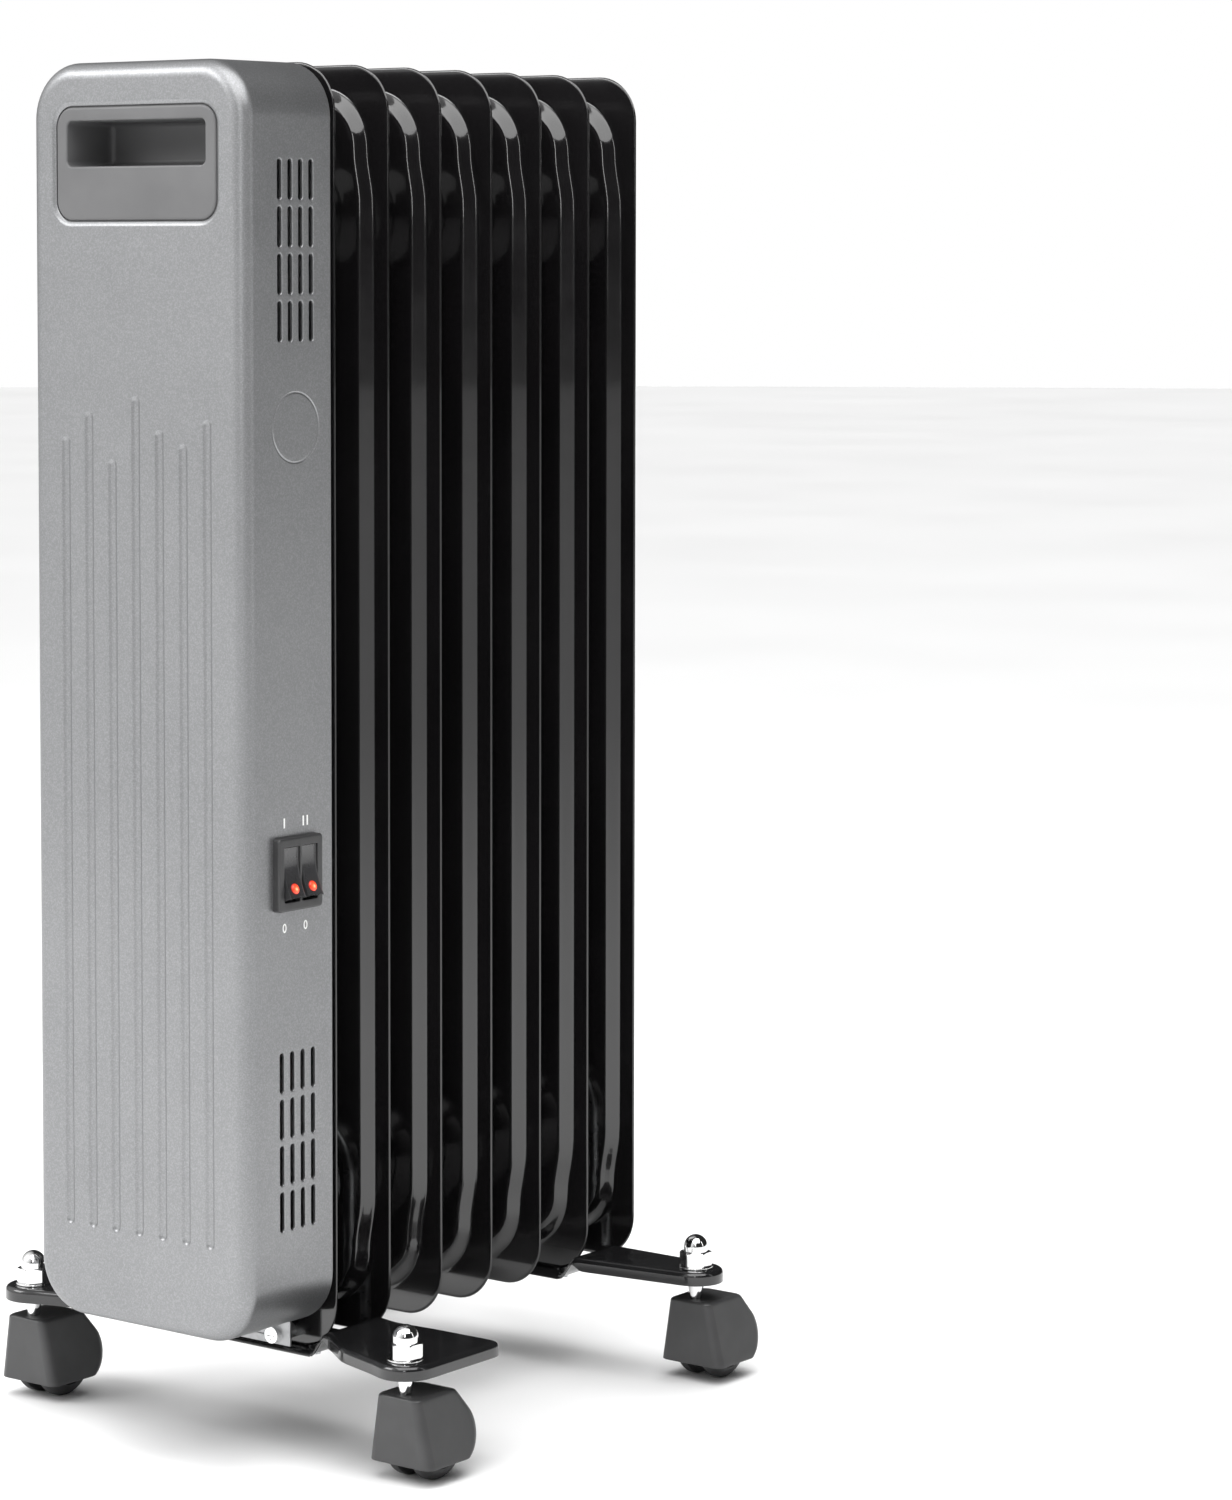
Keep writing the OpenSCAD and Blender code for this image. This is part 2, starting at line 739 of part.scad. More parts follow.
// A rocker in its own frame: pivot on Y, outward along +X, ends along Z
module rocker_form() {
    x_mid = rocker_crown - rocker_end_rise;
    intersection() {
        rotate([90, 0, 0]) cylinder(r = rocker_r, h = rocker_w, center = true);
        rotate([90, 0, 0]) linear_extrude(rocker_w, center = true) polygon([
            [-5, -20], [rocker_crown, -20], [rocker_crown, -rocker_r], [x_mid, 0],
            [rocker_crown, rocker_r], [rocker_crown, 20], [-5, 20]
        ]);
    }
    rotate([90, 0, 0]) cylinder(r = rocker_pin_r, h = rocker_well_w + 2 * rocker_pin_l - 0.4, center = true);
}

// Place children in the frame of a rocker that is switched on
module at_rocker(side) {
    translate([rocker_x, switch_y + side * rocker_y_step, switch_z]) rotate([0, -rocker_tilt, 0]) children();
}

// Place children at the lamp's seat on the lower half of a rocker
module at_lamp() {
    x_mid = rocker_crown - rocker_end_rise;
    slope = atan2(rocker_end_rise, rocker_r);
    translate([x_mid, 0, 0]) rotate([0, -slope, 0]) translate([0, 0, -lamp_at]) rotate([0, 90, 0]) children();
}

module rocker(side) {
    color([0.1, 0.1, 0.1]) at_rocker(side) difference() {
        rocker_form();
        at_lamp() translate([0, 0, -lamp_h]) cylinder(r = lamp_r + fixed_fit, h = lamp_h + 3);
    }
}

module lamp(side) {
    color([0.9, 0.15, 0.08]) at_rocker(side) at_lamp() translate([0, 0, -lamp_h])
        cylinder(r = lamp_r, h = lamp_h + lamp_proud);
}

// ---------- brackets ----------

// Bent sheet of a bracket, as a solid strip in X and Z: arms at ear height, middle dropped
module bracket_strip(y_a, y_b) {
    x_end = arm_side_x + 5;
    t = bracket_t;
    slab_y(
        [
            [-x_end, ear_top], [-arm_root_x, ear_top], [-tray_x, tray_z], [tray_x, tray_z],
            [arm_root_x, ear_top], [x_end, ear_top], [x_end, ear_top - t], [arm_root_x + t / 2, ear_top - t],
            [tray_x + t / 2, tray_z - t], [-tray_x - t / 2, tray_z - t], [-arm_root_x - t / 2, ear_top - t],
            [-x_end, ear_top - t]
        ],
        y_a, y_b
    );
}

// Half of a bracket's outline seen from above, +X side, for an inset of d from its edge
function front_half(d) = concat(
    [[-1, front_tray_y[0] + d], [arm_root_x - 6, front_tray_y[0] + d]],
    arc(stem_x, front_stem_y, ear_r - d, 225, 360),
    arc(arm_side_x - wing_corner_r, wing_y - wing_corner_r, wing_corner_r - d, 0, 90),
    [[arm_root_x + 20, wing_y - 3 - d], [arm_root_x - 2, front_tray_y[1] - d], [-1, front_tray_y[1] - d]]
);

function rear_half(d) = concat(
    [[-1, rear_tray_y[0] + d], [arm_root_x + 16, rear_tray_y[0] + 2 + d]],
    arc(stem_x, rear_stem_y, ear_r - d, 270, 450),
    [[arm_root_x + 16, rear_tray_y[1] - d], [-1, rear_tray_y[1] - d]]
);

// Both halves of an outline, extruded from z_a to z_b
module plan(half, z_a, z_b) {
    translate([0, 0, z_a]) linear_extrude(z_b - z_a) {
        polygon(half);
        mirror([1, 0]) polygon(half);
    }
}

module bracket(half, inner_half, tray, stem_y, clamp_y) {
    lip_z = ear_top - lip_h;
    color([0.05, 0.05, 0.06]) difference() {
        union() {
            intersection() {
                bracket_strip(front_y, -front_y);
                plan(half, tray_z - 5, ear_top + 1);
            }
            difference() {
                plan(half, lip_z, ear_top - bracket_t / 2);
                plan(inner_half, lip_z - cut, ear_top);
                block([0, 0, ear_top], [2 * (arm_root_x + 1), 3 * overall_l, 40]);
            }
        }
        for (x = [-stem_x, stem_x]) translate([x, stem_y, lip_z])
            cylinder(r = stud_r + bolt_fit, h = lip_h + cut);
        for (x = [-u_bolt_R, u_bolt_R]) translate([x, clamp_y, tray_z - bracket_t - cut])
            cylinder(r = u_bolt_r + bolt_fit, h = bracket_t + 2 * cut);
    }
}

module front_bracket() {
    bracket(front_half(0), front_half(lip_t), front_tray_y, front_stem_y, front_clamp_y);
}

module rear_bracket() {
    bracket(rear_half(0), rear_half(lip_t), rear_tray_y, rear_stem_y, rear_clamp_y);
}

// U-bolts that clamp the brackets to the lower header
module u_bolts() {
    leg_end = tray_z - bracket_t - wing_nut_h - 2;
    color([0.72, 0.72, 0.74]) for (y = [front_clamp_y, rear_clamp_y]) translate([0, y, 0]) {
        translate([0, 0, lower_z]) rotate([90, 0, 0]) rotate_extrude(angle = 180)
            translate([u_bolt_R, 0]) circle(r = u_bolt_r);
        for (x = [-u_bolt_R, u_bolt_R]) translate([x, 0, leg_end])
            cylinder(r = u_bolt_r, h = lower_z - leg_end);
    }
}

module wing_nuts() {
    top = tray_z - bracket_t;
    color([0.72, 0.72, 0.74]) for (x = [-u_bolt_R, u_bolt_R], y = [front_clamp_y, rear_clamp_y])
        translate([x, y, top - wing_nut_h]) difference() {
            union() {
                cylinder(r1 = 4.2, r2 = 5.2, h = wing_nut_h);
                for (side = [-1, 1]) translate([0, side * 7, wing_nut_h / 2 - 0.6])
                    cube([1.6, 7, wing_nut_h - 1.2], center = true);
            }
            translate([0, 0, -cut]) cylinder(r = u_bolt_r + fixed_fit, h = wing_nut_h + 2 * cut);
        }
}

// ---------- casters ----------

module caster_stems() {
    under = ear_top - bracket_t;
    cone_z = under - stem_flange_t;
    color([0.78, 0.78, 0.8]) for (s = stems) translate([s.x, s.y, 0]) {
        translate([0, 0, hood_top - stem_depth]) cylinder(r = swivel_pin_r, h = stem_depth + cut);
        translate([0, 0, hood_top + 0.2])
            cylinder(r1 = swivel_pin_r, r2 = stem_cone_r, h = cone_z - hood_top - 0.2);
        translate([0, 0, cone_z]) cylinder(r = stem_flange_r, h = stem_flange_t);
        translate([0, 0, under - cut]) cylinder(r = stud_r, h = bracket_t + stud_rise + cut);
    }
}

module stem_washers() {
    color([0.8, 0.8, 0.82]) for (s = stems) translate([s.x, s.y, ear_top]) difference() {
        cylinder(r = washer_r, h = washer_t);
        translate([0, 0, -cut]) cylinder(r = stud_r + bolt_fit, h = washer_t + 2 * cut);
    }
}

module acorn_nuts() {
    dome_z = nut_h - nut_dome_r;
    color([0.85, 0.85, 0.87]) for (s = stems) translate([s.x, s.y, ear_top + washer_t]) difference() {
        union() {
            cylinder(r = nut_af / 2 / cos(30), h = nut_hex_h, $fn = 6);
            cylinder(r = nut_dome_r, h = dome_z);
            translate([0, 0, dome_z]) sphere(r = nut_dome_r);
        }
        translate([0, 0, -cut]) cylinder(r = stud_r + fixed_fit, h = stud_rise - washer_t + cut + 0.5);
    }
}

// A twin-wheel hood about its stem, on the floor
module hood(s) {
    axle = [caster_trail, wheel_r];
    side_view = concat(
        [[-hood_front + 1.5, hood_bottom], [hood_rear - 7, hood_bottom]],
        arc(hood_rear - 14, hood_bottom + 12, 14, -40, 30),
        arc(hood_rear - 12.5, hood_top - 5, 5, 35, 90, 5),
        arc(-hood_front + 2, hood_top - 2, 2, 90, 180, 4)
    );
    front_view = [
        [-hood_foot_w / 2, hood_bottom - 1], [hood_foot_w / 2, hood_bottom - 1],
        [hood_crown_w / 2 + 0.6, hood_top - 3], [hood_crown_w / 2 - 2, hood_top + 1],
        [-hood_crown_w / 2 + 2, hood_top + 1], [-hood_crown_w / 2 - 0.6, hood_top - 3]
    ];
    color([0.13, 0.13, 0.14]) translate([s.x, s.y, 0]) difference() {
        intersection() {
            slab_x(side_view, -hood_foot_w, hood_foot_w);
            slab_y(front_view, -hood_front - 5, hood_rear + 5);
        }
        translate([0, axle.x, axle.y]) for (side = [0, 1]) mirror([side, 0, 0]) rotate([0, 90, 0])
            rotate_extrude() polygon(wheel_outline(well_gap, hood_web / 2));
        rod_x(axle.x, axle.y, axle_r + fixed_fit, -hood_web / 2 - cut, hood_web / 2 + cut);
        translate([0, 0, hood_top - stem_depth - 0.5])
            cylinder(r = swivel_pin_r + run_fit, h = stem_depth + 2);
    }
}

// Half section of a wheel as radius and distance from the middle, grown by gap
function wheel_outline(gap, x_in) = let (x_out = hood_web / 2 + wheel_gap + wheel_w + gap, r = wheel_r + gap) [
    [0, x_in], [r, x_in], [r, x_out - wheel_shoulder], [r - wheel_shoulder, x_out], [0, x_out]
];

module axle(s) {
    half = hood_web / 2 + wheel_gap + wheel_w;
    color([0.7, 0.7, 0.72]) rod_x(s.y + caster_trail, wheel_r, axle_r, s.x - half, s.x + half);
}

module wheel(s, side) {
    x_in = hood_web / 2 + wheel_gap;
    color([0.1, 0.1, 0.11]) translate([s.x, s.y + caster_trail, wheel_r]) mirror([side < 0 ? 1 : 0, 0, 0])
        rotate([0, 90, 0]) difference() {
            rotate_extrude() polygon(wheel_outline(0, x_in));
            translate([0, 0, x_in - cut]) cylinder(r = axle_r + run_fit, h = wheel_w + 2 * cut);
        }
}

fin(0);  // fin_1
fin(1);  // fin_2
fin(2);  // fin_3
fin(3);  // fin_4
fin(4);  // fin_5
fin(5);  // fin_6
fin(6);  // fin_7
upper_collars();
lower_collars();
header_caps();
filler_plug();
heating_element_low();
heating_element_high();
element_flange();
element_gasket();
element_terminals();
chassis_plate();
chassis_screws();
chassis_spacers();
case_screws();
front_housing();
handle_insert();
thermostat();
thermal_cutout();
terminal_block();
wiring();
cord_gland();
gland_nut();
switch_body();
switch_terminals();
rocker(-1);  // rocker_1
rocker(1);  // rocker_2
lamp(-1);  // rocker_lamp_1
lamp(1);  // rocker_lamp_2
front_bracket();
rear_bracket();
u_bolts();
wing_nuts();
caster_stems();
stem_washers();
acorn_nuts();
hood(stems[0]);  // hood_fl
hood(stems[1]);  // hood_fr
hood(stems[2]);  // hood_rl
hood(stems[3]);  // hood_rr
axle(stems[0]);  // axle_fl
axle(stems[1]);  // axle_fr
axle(stems[2]);  // axle_rl
axle(stems[3]);  // axle_rr
wheel(stems[0], -1);  // wheel_fl_left
wheel(stems[0], 1);  // wheel_fl_right
wheel(stems[1], -1);  // wheel_fr_left
wheel(stems[1], 1);  // wheel_fr_right
wheel(stems[2], -1);  // wheel_rl_left
wheel(stems[2], 1);  // wheel_rl_right
wheel(stems[3], -1);  // wheel_rr_left
wheel(stems[3], 1);  // wheel_rr_right
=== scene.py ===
import math

import bmesh
import bpy
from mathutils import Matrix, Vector
from mathutils.geometry import delaunay_2d_cdt


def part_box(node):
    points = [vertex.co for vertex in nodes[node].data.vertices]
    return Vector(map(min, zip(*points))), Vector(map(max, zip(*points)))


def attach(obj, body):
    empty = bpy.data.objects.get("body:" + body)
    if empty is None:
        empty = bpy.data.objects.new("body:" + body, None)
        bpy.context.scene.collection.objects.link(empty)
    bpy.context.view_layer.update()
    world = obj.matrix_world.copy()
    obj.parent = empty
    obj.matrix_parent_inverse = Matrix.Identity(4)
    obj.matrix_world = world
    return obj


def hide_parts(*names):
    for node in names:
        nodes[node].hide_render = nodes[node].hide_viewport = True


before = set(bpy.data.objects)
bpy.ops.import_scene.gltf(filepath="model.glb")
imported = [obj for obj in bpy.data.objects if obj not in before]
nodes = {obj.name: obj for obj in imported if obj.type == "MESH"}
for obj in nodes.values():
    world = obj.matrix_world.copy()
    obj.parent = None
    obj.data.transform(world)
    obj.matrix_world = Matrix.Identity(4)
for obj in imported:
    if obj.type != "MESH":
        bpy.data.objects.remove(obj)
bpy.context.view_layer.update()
MM = 0.001


def box(node):
    """Lowest and highest corner of a CAD node, in millimetres."""
    lo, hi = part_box(node)
    return lo / MM, hi / MM


# ---------------------------------------------------------------- materials


def node_tree(name):
    mat = bpy.data.materials.new(name)
    mat.use_nodes = True
    tree = mat.node_tree
    shader = tree.nodes["Principled BSDF"]
    place = tree.nodes.new("ShaderNodeTexCoord")
    return mat, tree, shader, place.outputs["Object"]


def noise(tree, place, scale, detail=3.0, rough=0.55, stretch=None):
    if stretch:
        mapping = tree.nodes.new("ShaderNodeMapping")
        mapping.inputs["Scale"].default_value = stretch
        tree.links.new(place, mapping.inputs["Vector"])
        place = mapping.outputs["Vector"]
    tex = tree.nodes.new("ShaderNodeTexNoise")
    tex.inputs["Scale"].default_value = scale
    tex.inputs["Detail"].default_value = detail
    tex.inputs["Roughness"].default_value = rough
    tree.links.new(place, tex.inputs["Vector"])
    return tex.outputs["Fac"]


def remap(tree, value, a, b, low=0.3, high=0.7):
    node = tree.nodes.new("ShaderNodeMapRange")
    node.inputs["From Min"].default_value = low
    node.inputs["From Max"].default_value = high
    node.inputs["To Min"].default_value = a
    node.inputs["To Max"].default_value = b
    tree.links.new(value, node.inputs["Value"])
    return node.outputs["Result"]


def mix_colour(tree, fac, a, b):
    node = tree.nodes.new("ShaderNodeMix")
    node.data_type = "RGBA"
    tree.links.new(fac, node.inputs["Factor"])
    for socket, value in ((node.inputs[6], a), (node.inputs[7], b)):
        if isinstance(value, tuple):
            socket.default_value = (*value, 1)
        else:
            tree.links.new(value, socket)
    return node.outputs[2]


def edge_mask(tree, radius, strength):
    """0 on flat surfaces, rising to strength along sharp edges."""
    bevel = tree.nodes.new("ShaderNodeBevel")
    bevel.samples = 4
    bevel.inputs["Radius"].default_value = radius
    geometry = tree.nodes.new("ShaderNodeNewGeometry")
    dot = tree.nodes.new("ShaderNodeVectorMath")
    dot.operation = "DOT_PRODUCT"
    tree.links.new(bevel.outputs["Normal"], dot.inputs[0])
    tree.links.new(geometry.outputs["Normal"], dot.inputs[1])
    return remap(tree, dot.outputs["Value"], strength, 0.0, 0.75, 0.985)


def surface(name, dark, light, rough, metallic=0.0, coat=0.0, coat_rough=0.08, specular=0.5,
            cloud=18.0, grain=900.0, bump=0.1, grain_depth=0.00008, wear=None, stretch=None, fleck=None,
            peel=None):
    """A finish whose colour drifts between dark and light, with a grain, uneven gloss and worn edges."""
    mat, tree, shader, place = node_tree(name)
    colour = mix_colour(tree, remap(tree, noise(tree, place, cloud), 0.0, 1.0), dark, light)
    fine = noise(tree, place, grain, 2.0, 0.6, stretch)
    if fleck:
        colour = mix_colour(tree, remap(tree, fine, 0.0, fleck[1], 0.42, 0.72), colour, fleck[0])
    if wear:
        colour = mix_colour(tree, edge_mask(tree, wear[1] * MM, wear[2]), colour, wear[0])
    tree.links.new(colour, shader.inputs["Base Color"])
    uneven = noise(tree, place, cloud * 3.1, 4.0)
    tree.links.new(remap(tree, uneven, rough[0], rough[1]), shader.inputs["Roughness"])
    relief = tree.nodes.new("ShaderNodeBump")
    relief.inputs["Strength"].default_value = bump
    relief.inputs["Distance"].default_value = grain_depth
    tree.links.new(fine, relief.inputs["Height"])
    if peel:
        wave = tree.nodes.new("ShaderNodeBump")
        wave.inputs["Strength"].default_value = peel[1]
        wave.inputs["Distance"].default_value = 0.0004
        tree.links.new(noise(tree, place, peel[0], 1.0), wave.inputs["Height"])
        tree.links.new(relief.outputs["Normal"], wave.inputs["Normal"])
        relief = wave
    tree.links.new(relief.outputs["Normal"], shader.inputs["Normal"])
    shader.inputs["Metallic"].default_value = metallic
    shader.inputs["Coat Weight"].default_value = coat
    shader.inputs["Coat Roughness"].default_value = coat_rough
    shader.inputs["Specular IOR Level"].default_value = specular
    return mat


silver = surface(
    "silver_paint", (0.215, 0.218, 0.223), (0.24, 0.243, 0.248), (0.36, 0.42), metallic=0.82, coat=0.12,
    coat_rough=0.25, cloud=9.0, grain=1500.0, bump=0.3, grain_depth=0.00005,
    wear=((0.66, 0.665, 0.675), 0.7, 0.6), fleck=((0.44, 0.445, 0.455), 0.35), peel=(160.0, 0.05),
)
enamel = surface(
    "black_enamel", (0.0055, 0.0052, 0.0055), (0.009, 0.0085, 0.009), (0.10, 0.17), coat=0.6,
    coat_rough=0.03, cloud=14.0, grain=420.0, bump=0.05, peel=(85.0, 0.05),
    wear=((0.05, 0.048, 0.046), 0.35, 0.55),
)
bracket_enamel = surface(
    "bracket_enamel", (0.008, 0.008, 0.0085), (0.014, 0.014, 0.0145), (0.14, 0.22), coat=0.5,
    coat_rough=0.05, cloud=25.0, grain=500.0, bump=0.08, peel=(120.0, 0.08),
    wear=((0.06, 0.06, 0.06), 0.4, 0.5),
)
handle_grey = surface(
    "handle_plastic", (0.095, 0.095, 0.097), (0.115, 0.115, 0.117), (0.42, 0.52), cloud=30.0,
    grain=2200.0, bump=0.35, grain_depth=0.00006, wear=((0.34, 0.34, 0.345), 0.4, 0.4),
)
black_plastic = surface(
    "switch_plastic", (0.028, 0.028, 0.029), (0.04, 0.04, 0.041), (0.34, 0.46), cloud=60.0,
    grain=2600.0, bump=0.3, grain_depth=0.00005, wear=((0.11, 0.11, 0.112), 0.3, 0.45),
)
rocker_black = surface(
    "rocker_gloss", (0.028, 0.028, 0.029), (0.04, 0.04, 0.042), (0.16, 0.24), coat=0.7, coat_rough=0.12,
    cloud=70.0, grain=1500.0, bump=0.1, grain_depth=0.00003, wear=((0.12, 0.12, 0.12), 0.25, 0.4),
)
hood_plastic = surface(
    "hood_plastic", (0.036, 0.036, 0.037), (0.048, 0.048, 0.049), (0.3, 0.38), cloud=60.0,
    grain=1900.0, bump=0.35, grain_depth=0.00006, wear=((0.1, 0.1, 0.1), 0.5, 0.35),
)
tyre = surface(
    "wheel_plastic", (0.016, 0.016, 0.017), (0.028, 0.028, 0.029), (0.4, 0.6), cloud=90.0,
    grain=1400.0, bump=0.5, grain_depth=0.00008, wear=((0.12, 0.12, 0.118), 0.5, 0.5),
)
chrome = surface(
    "chrome", (0.80, 0.80, 0.80), (0.88, 0.88, 0.88), (0.05, 0.13), metallic=1.0, cloud=120.0,
    grain=1200.0, bump=0.06, grain_depth=0.00003, wear=((0.95, 0.95, 0.95), 0.25, 0.5),
)
zinc = surface(
    "zinc_plate", (0.52, 0.53, 0.54), (0.66, 0.67, 0.68), (0.24, 0.4), metallic=1.0, cloud=90.0,
    grain=800.0, bump=0.2, wear=((0.8, 0.8, 0.8), 0.3, 0.5),
)
galvanised = surface(
    "galvanised_sheet", (0.3, 0.305, 0.31), (0.42, 0.425, 0.43), (0.35, 0.55), metallic=0.9, cloud=160.0,
    grain=700.0, bump=0.2, wear=((0.6, 0.6, 0.6), 0.3, 0.4),
)
element_steel = surface(
    "element_steel", (0.2, 0.19, 0.175), (0.34, 0.32, 0.29), (0.35, 0.55), metallic=1.0, cloud=70.0,
    grain=900.0, bump=0.25, wear=((0.5, 0.5, 0.5), 0.3, 0.4),
)
brass = surface(
    "tinned_brass", (0.55, 0.5, 0.36), (0.68, 0.64, 0.5), (0.25, 0.4), metallic=1.0, cloud=150.0,
    grain=1200.0, bump=0.12, wear=((0.8, 0.75, 0.6), 0.2, 0.5),
)
fibre = surface(
    "gasket_fibre", (0.03, 0.075, 0.06), (0.06, 0.12, 0.1), (0.75, 0.9), cloud=200.0, grain=2500.0,
    bump=0.6, wear=((0.12, 0.2, 0.17), 0.3, 0.4),
)
pale_plastic = surface(
    "pale_moulding", (0.60, 0.57, 0.47), (0.68, 0.65, 0.55), (0.4, 0.5), cloud=100.0, grain=2000.0,
    bump=0.2, wear=((0.8, 0.78, 0.7), 0.3, 0.4),
)
dark_plastic = surface(
    "dark_moulding", (0.018, 0.018, 0.018), (0.03, 0.03, 0.03), (0.4, 0.55), cloud=100.0, grain=2000.0,
    bump=0.3, wear=((0.08, 0.08, 0.08), 0.3, 0.4),
)
sleeve = surface(
    "wire_sleeve", (0.42, 0.07, 0.05), (0.5, 0.1, 0.075), (0.45, 0.6), cloud=130.0, grain=3000.0,
    bump=0.5, stretch=(1.0, 1.0, 0.25), wear=((0.6, 0.2, 0.15), 0.3, 0.3),
)
ink = surface(
    "printed_white", (0.80, 0.80, 0.79), (0.86, 0.86, 0.85), (0.5, 0.6), cloud=300.0, grain=4000.0,
    bump=0.15, wear=((0.6, 0.6, 0.6), 0.1, 0.3),
)


def lamp_material():
    """Red lens over a neon lamp: the glow is strongest in the middle of the lens."""
    mat, tree, shader, place = node_tree("lamp_lens")
    core = tree.nodes.new("ShaderNodeAttribute")
    core.attribute_name = "glow"
    ramp = tree.nodes.new("ShaderNodeValToRGB")
    ramp.color_ramp.elements[0].color = (0.42, 0.018, 0.008, 1)
    ramp.color_ramp.elements[1].color = (1.0, 0.42, 0.22, 1)
    ramp.color_ramp.elements[1].position = 0.95
    middle = ramp.color_ramp.elements.new(0.55)
    middle.color = (0.92, 0.085, 0.035, 1)
    speckle = remap(tree, noise(tree, place, 900.0, 2.0), 0.82, 1.12)
    shade = tree.nodes.new("ShaderNodeMath")
    shade.operation = "MULTIPLY"
    tree.links.new(core.outputs["Fac"], shade.inputs[0])
    tree.links.new(speckle, shade.inputs[1])
    tree.links.new(shade.outputs["Value"], ramp.inputs["Fac"])
    tree.links.new(ramp.outputs["Color"], shader.inputs["Base Color"])
    tree.links.new(ramp.outputs["Color"], shader.inputs["Emission Color"])
    shader.inputs["Emission Strength"].default_value = 0.85
    shader.inputs["Roughness"].default_value = 0.12
    return mat


lens = lamp_material()


# ---------------------------------------------------------------- mesh helpers


def arc(cx, cy, r, start, end, steps):
    """Points of an arc in a plane, in degrees."""
    turn = [math.radians(start + (end - start) * i / steps) for i in range(steps + 1)]
    return [(cx + r * math.cos(a), cy + r * math.sin(a)) for a in turn]


def rounded(cx, cy, w, h, r, steps=8):
    """Rounded rectangle, anticlockwise from the middle of its right side."""
    x, y = w / 2 - r, h / 2 - r
    return (
        arc(cx + x, cy + y, r, 0, 90, steps) + arc(cx - x, cy + y, r, 90, 180, steps)
        + arc(cx - x, cy - y, r, 180, 270, steps) + arc(cx + x, cy - y, r, 270, 360, steps)
    )


def inset(points, d):
    """A closed anticlockwise outline moved inwards by d."""
    out, n = [], len(points)
    for i in range(n):
        a, b, c = Vector(points[i - 1]), Vector(points[i]), Vector(points[(i + 1) % n])
        e, f = (b - a).normalized(), (c - b).normalized()
        normal = Vector((-e.y - f.y, e.x + f.x))
        normal = normal.normalized() if normal.length > 1e-9 else Vector((-e.y, e.x))
        grow = 1 / max(0.5, normal.dot(Vector((-e.y, e.x))))
        out.append(tuple(b + normal * d * grow))
    return out


def inside(p, outline):
    hit, n = False, len(outline)
    for i in range(n):
        (x1, y1), (x2, y2) = outline[i - 1], outline[i]
        if (y1 > p[1]) != (y2 > p[1]) and p[0] < (x2 - x1) * (p[1] - y1) / (y2 - y1) + x1:
            hit = not hit
    return hit


def on_front(y):
    """Puts a point of an X-Z outline at depth y."""
    return lambda p: Vector((p[0], y, p[1])) * MM


def on_side(x):
    """Puts a point of a Y-Z outline at x."""
    return lambda p: Vector((x, p[0], p[1])) * MM


def ring(bm, outline, place):
    return [bm.verts.new(place(p)) for p in outline]


def face(bm, corners):
    try:
        return bm.faces.new(corners)
    except ValueError:
        return None


def bridge(bm, a, b, skip=()):
    """Quads between two closed rings with the same number of points."""
    n = len(a)
    for i in range(n):
        if i not in skip:
            face(bm, (a[i], a[(i + 1) % n], b[(i + 1) % n], b[i]))


def strip(bm, rings, skip=()):
    for a, b in zip(rings, rings[1:]):
        bridge(bm, a, b, skip)


def fill(bm, outer, holes, flat, free=()):
    """Fills a flat region between closed rings. flat turns a vertex into its two coordinates."""
    rings = [outer, *holes]
    verts = [v for r in rings for v in r]
    points = [Vector(flat(v)) for v in verts]
    edges, start = [], 0
    for r in rings:
        edges += [(start + i, start + (i + 1) % len(r)) for i in range(len(r))]
        start += len(r)
    verts += list(free)
    points += [Vector(flat(v)) for v in free]
    outlines, start = [], 0
    for r in rings:
        outlines.append([tuple(points[start + i]) for i in range(len(r))])
        start += len(r)
    out, _, tris, origin, _, _ = delaunay_2d_cdt(points, edges, [], 0, 1e-8)
    for t in tris:
        middle = sum((out[i] for i in t), Vector((0, 0))) / len(t)
        if not inside(middle, outlines[0]) or any(inside(middle, h) for h in outlines[1:]):
            continue
        corners = [verts[origin[i][0]] for i in t if origin[i]]
        if len(set(corners)) == len(t):
            face(bm, corners)


def plane_xz(v):
    return v.co.x, v.co.z


def plane_yz(v):
    return v.co.y, v.co.z


def plane_xy(v):
    return v.co.x, v.co.y


def lathe(bm, profile, place, steps=48, closed=False):
    """Turns (radius, height) points about an axis. place(x, y, h) puts them in space."""
    rings = []
    for r, h in profile:
        if r < 1e-6:
            rings.append([bm.verts.new(place(0, 0, h) * MM)])
            continue
        turn = [2 * math.pi * i / steps for i in range(steps)]
        rings.append([bm.verts.new(place(r * math.cos(a), r * math.sin(a), h) * MM) for a in turn])
    pairs = list(zip(rings, rings[1:])) + ([(rings[-1], rings[0])] if closed else [])
    for a, b in pairs:
        if len(a) == 1 or len(b) == 1:
            tip, loop = (a[0], b) if len(a) == 1 else (b[0], a)
            for i in range(len(loop)):
                face(bm, (tip, loop[i], loop[(i + 1) % len(loop)]))
        else:
            bridge(bm, a, b)


def up(x0, y0, z0):
    return lambda x, y, h: Vector((x0 + x, y0 + y, z0 + h))


def along_y(x0, y0, z0):
    return lambda x, y, h: Vector((x0 + x, y0 + h, z0 + y))


def along_x(x0, y0, z0, sign=1):
    return lambda x, y, h: Vector((x0 + sign * h, y0 + x, z0 + y))


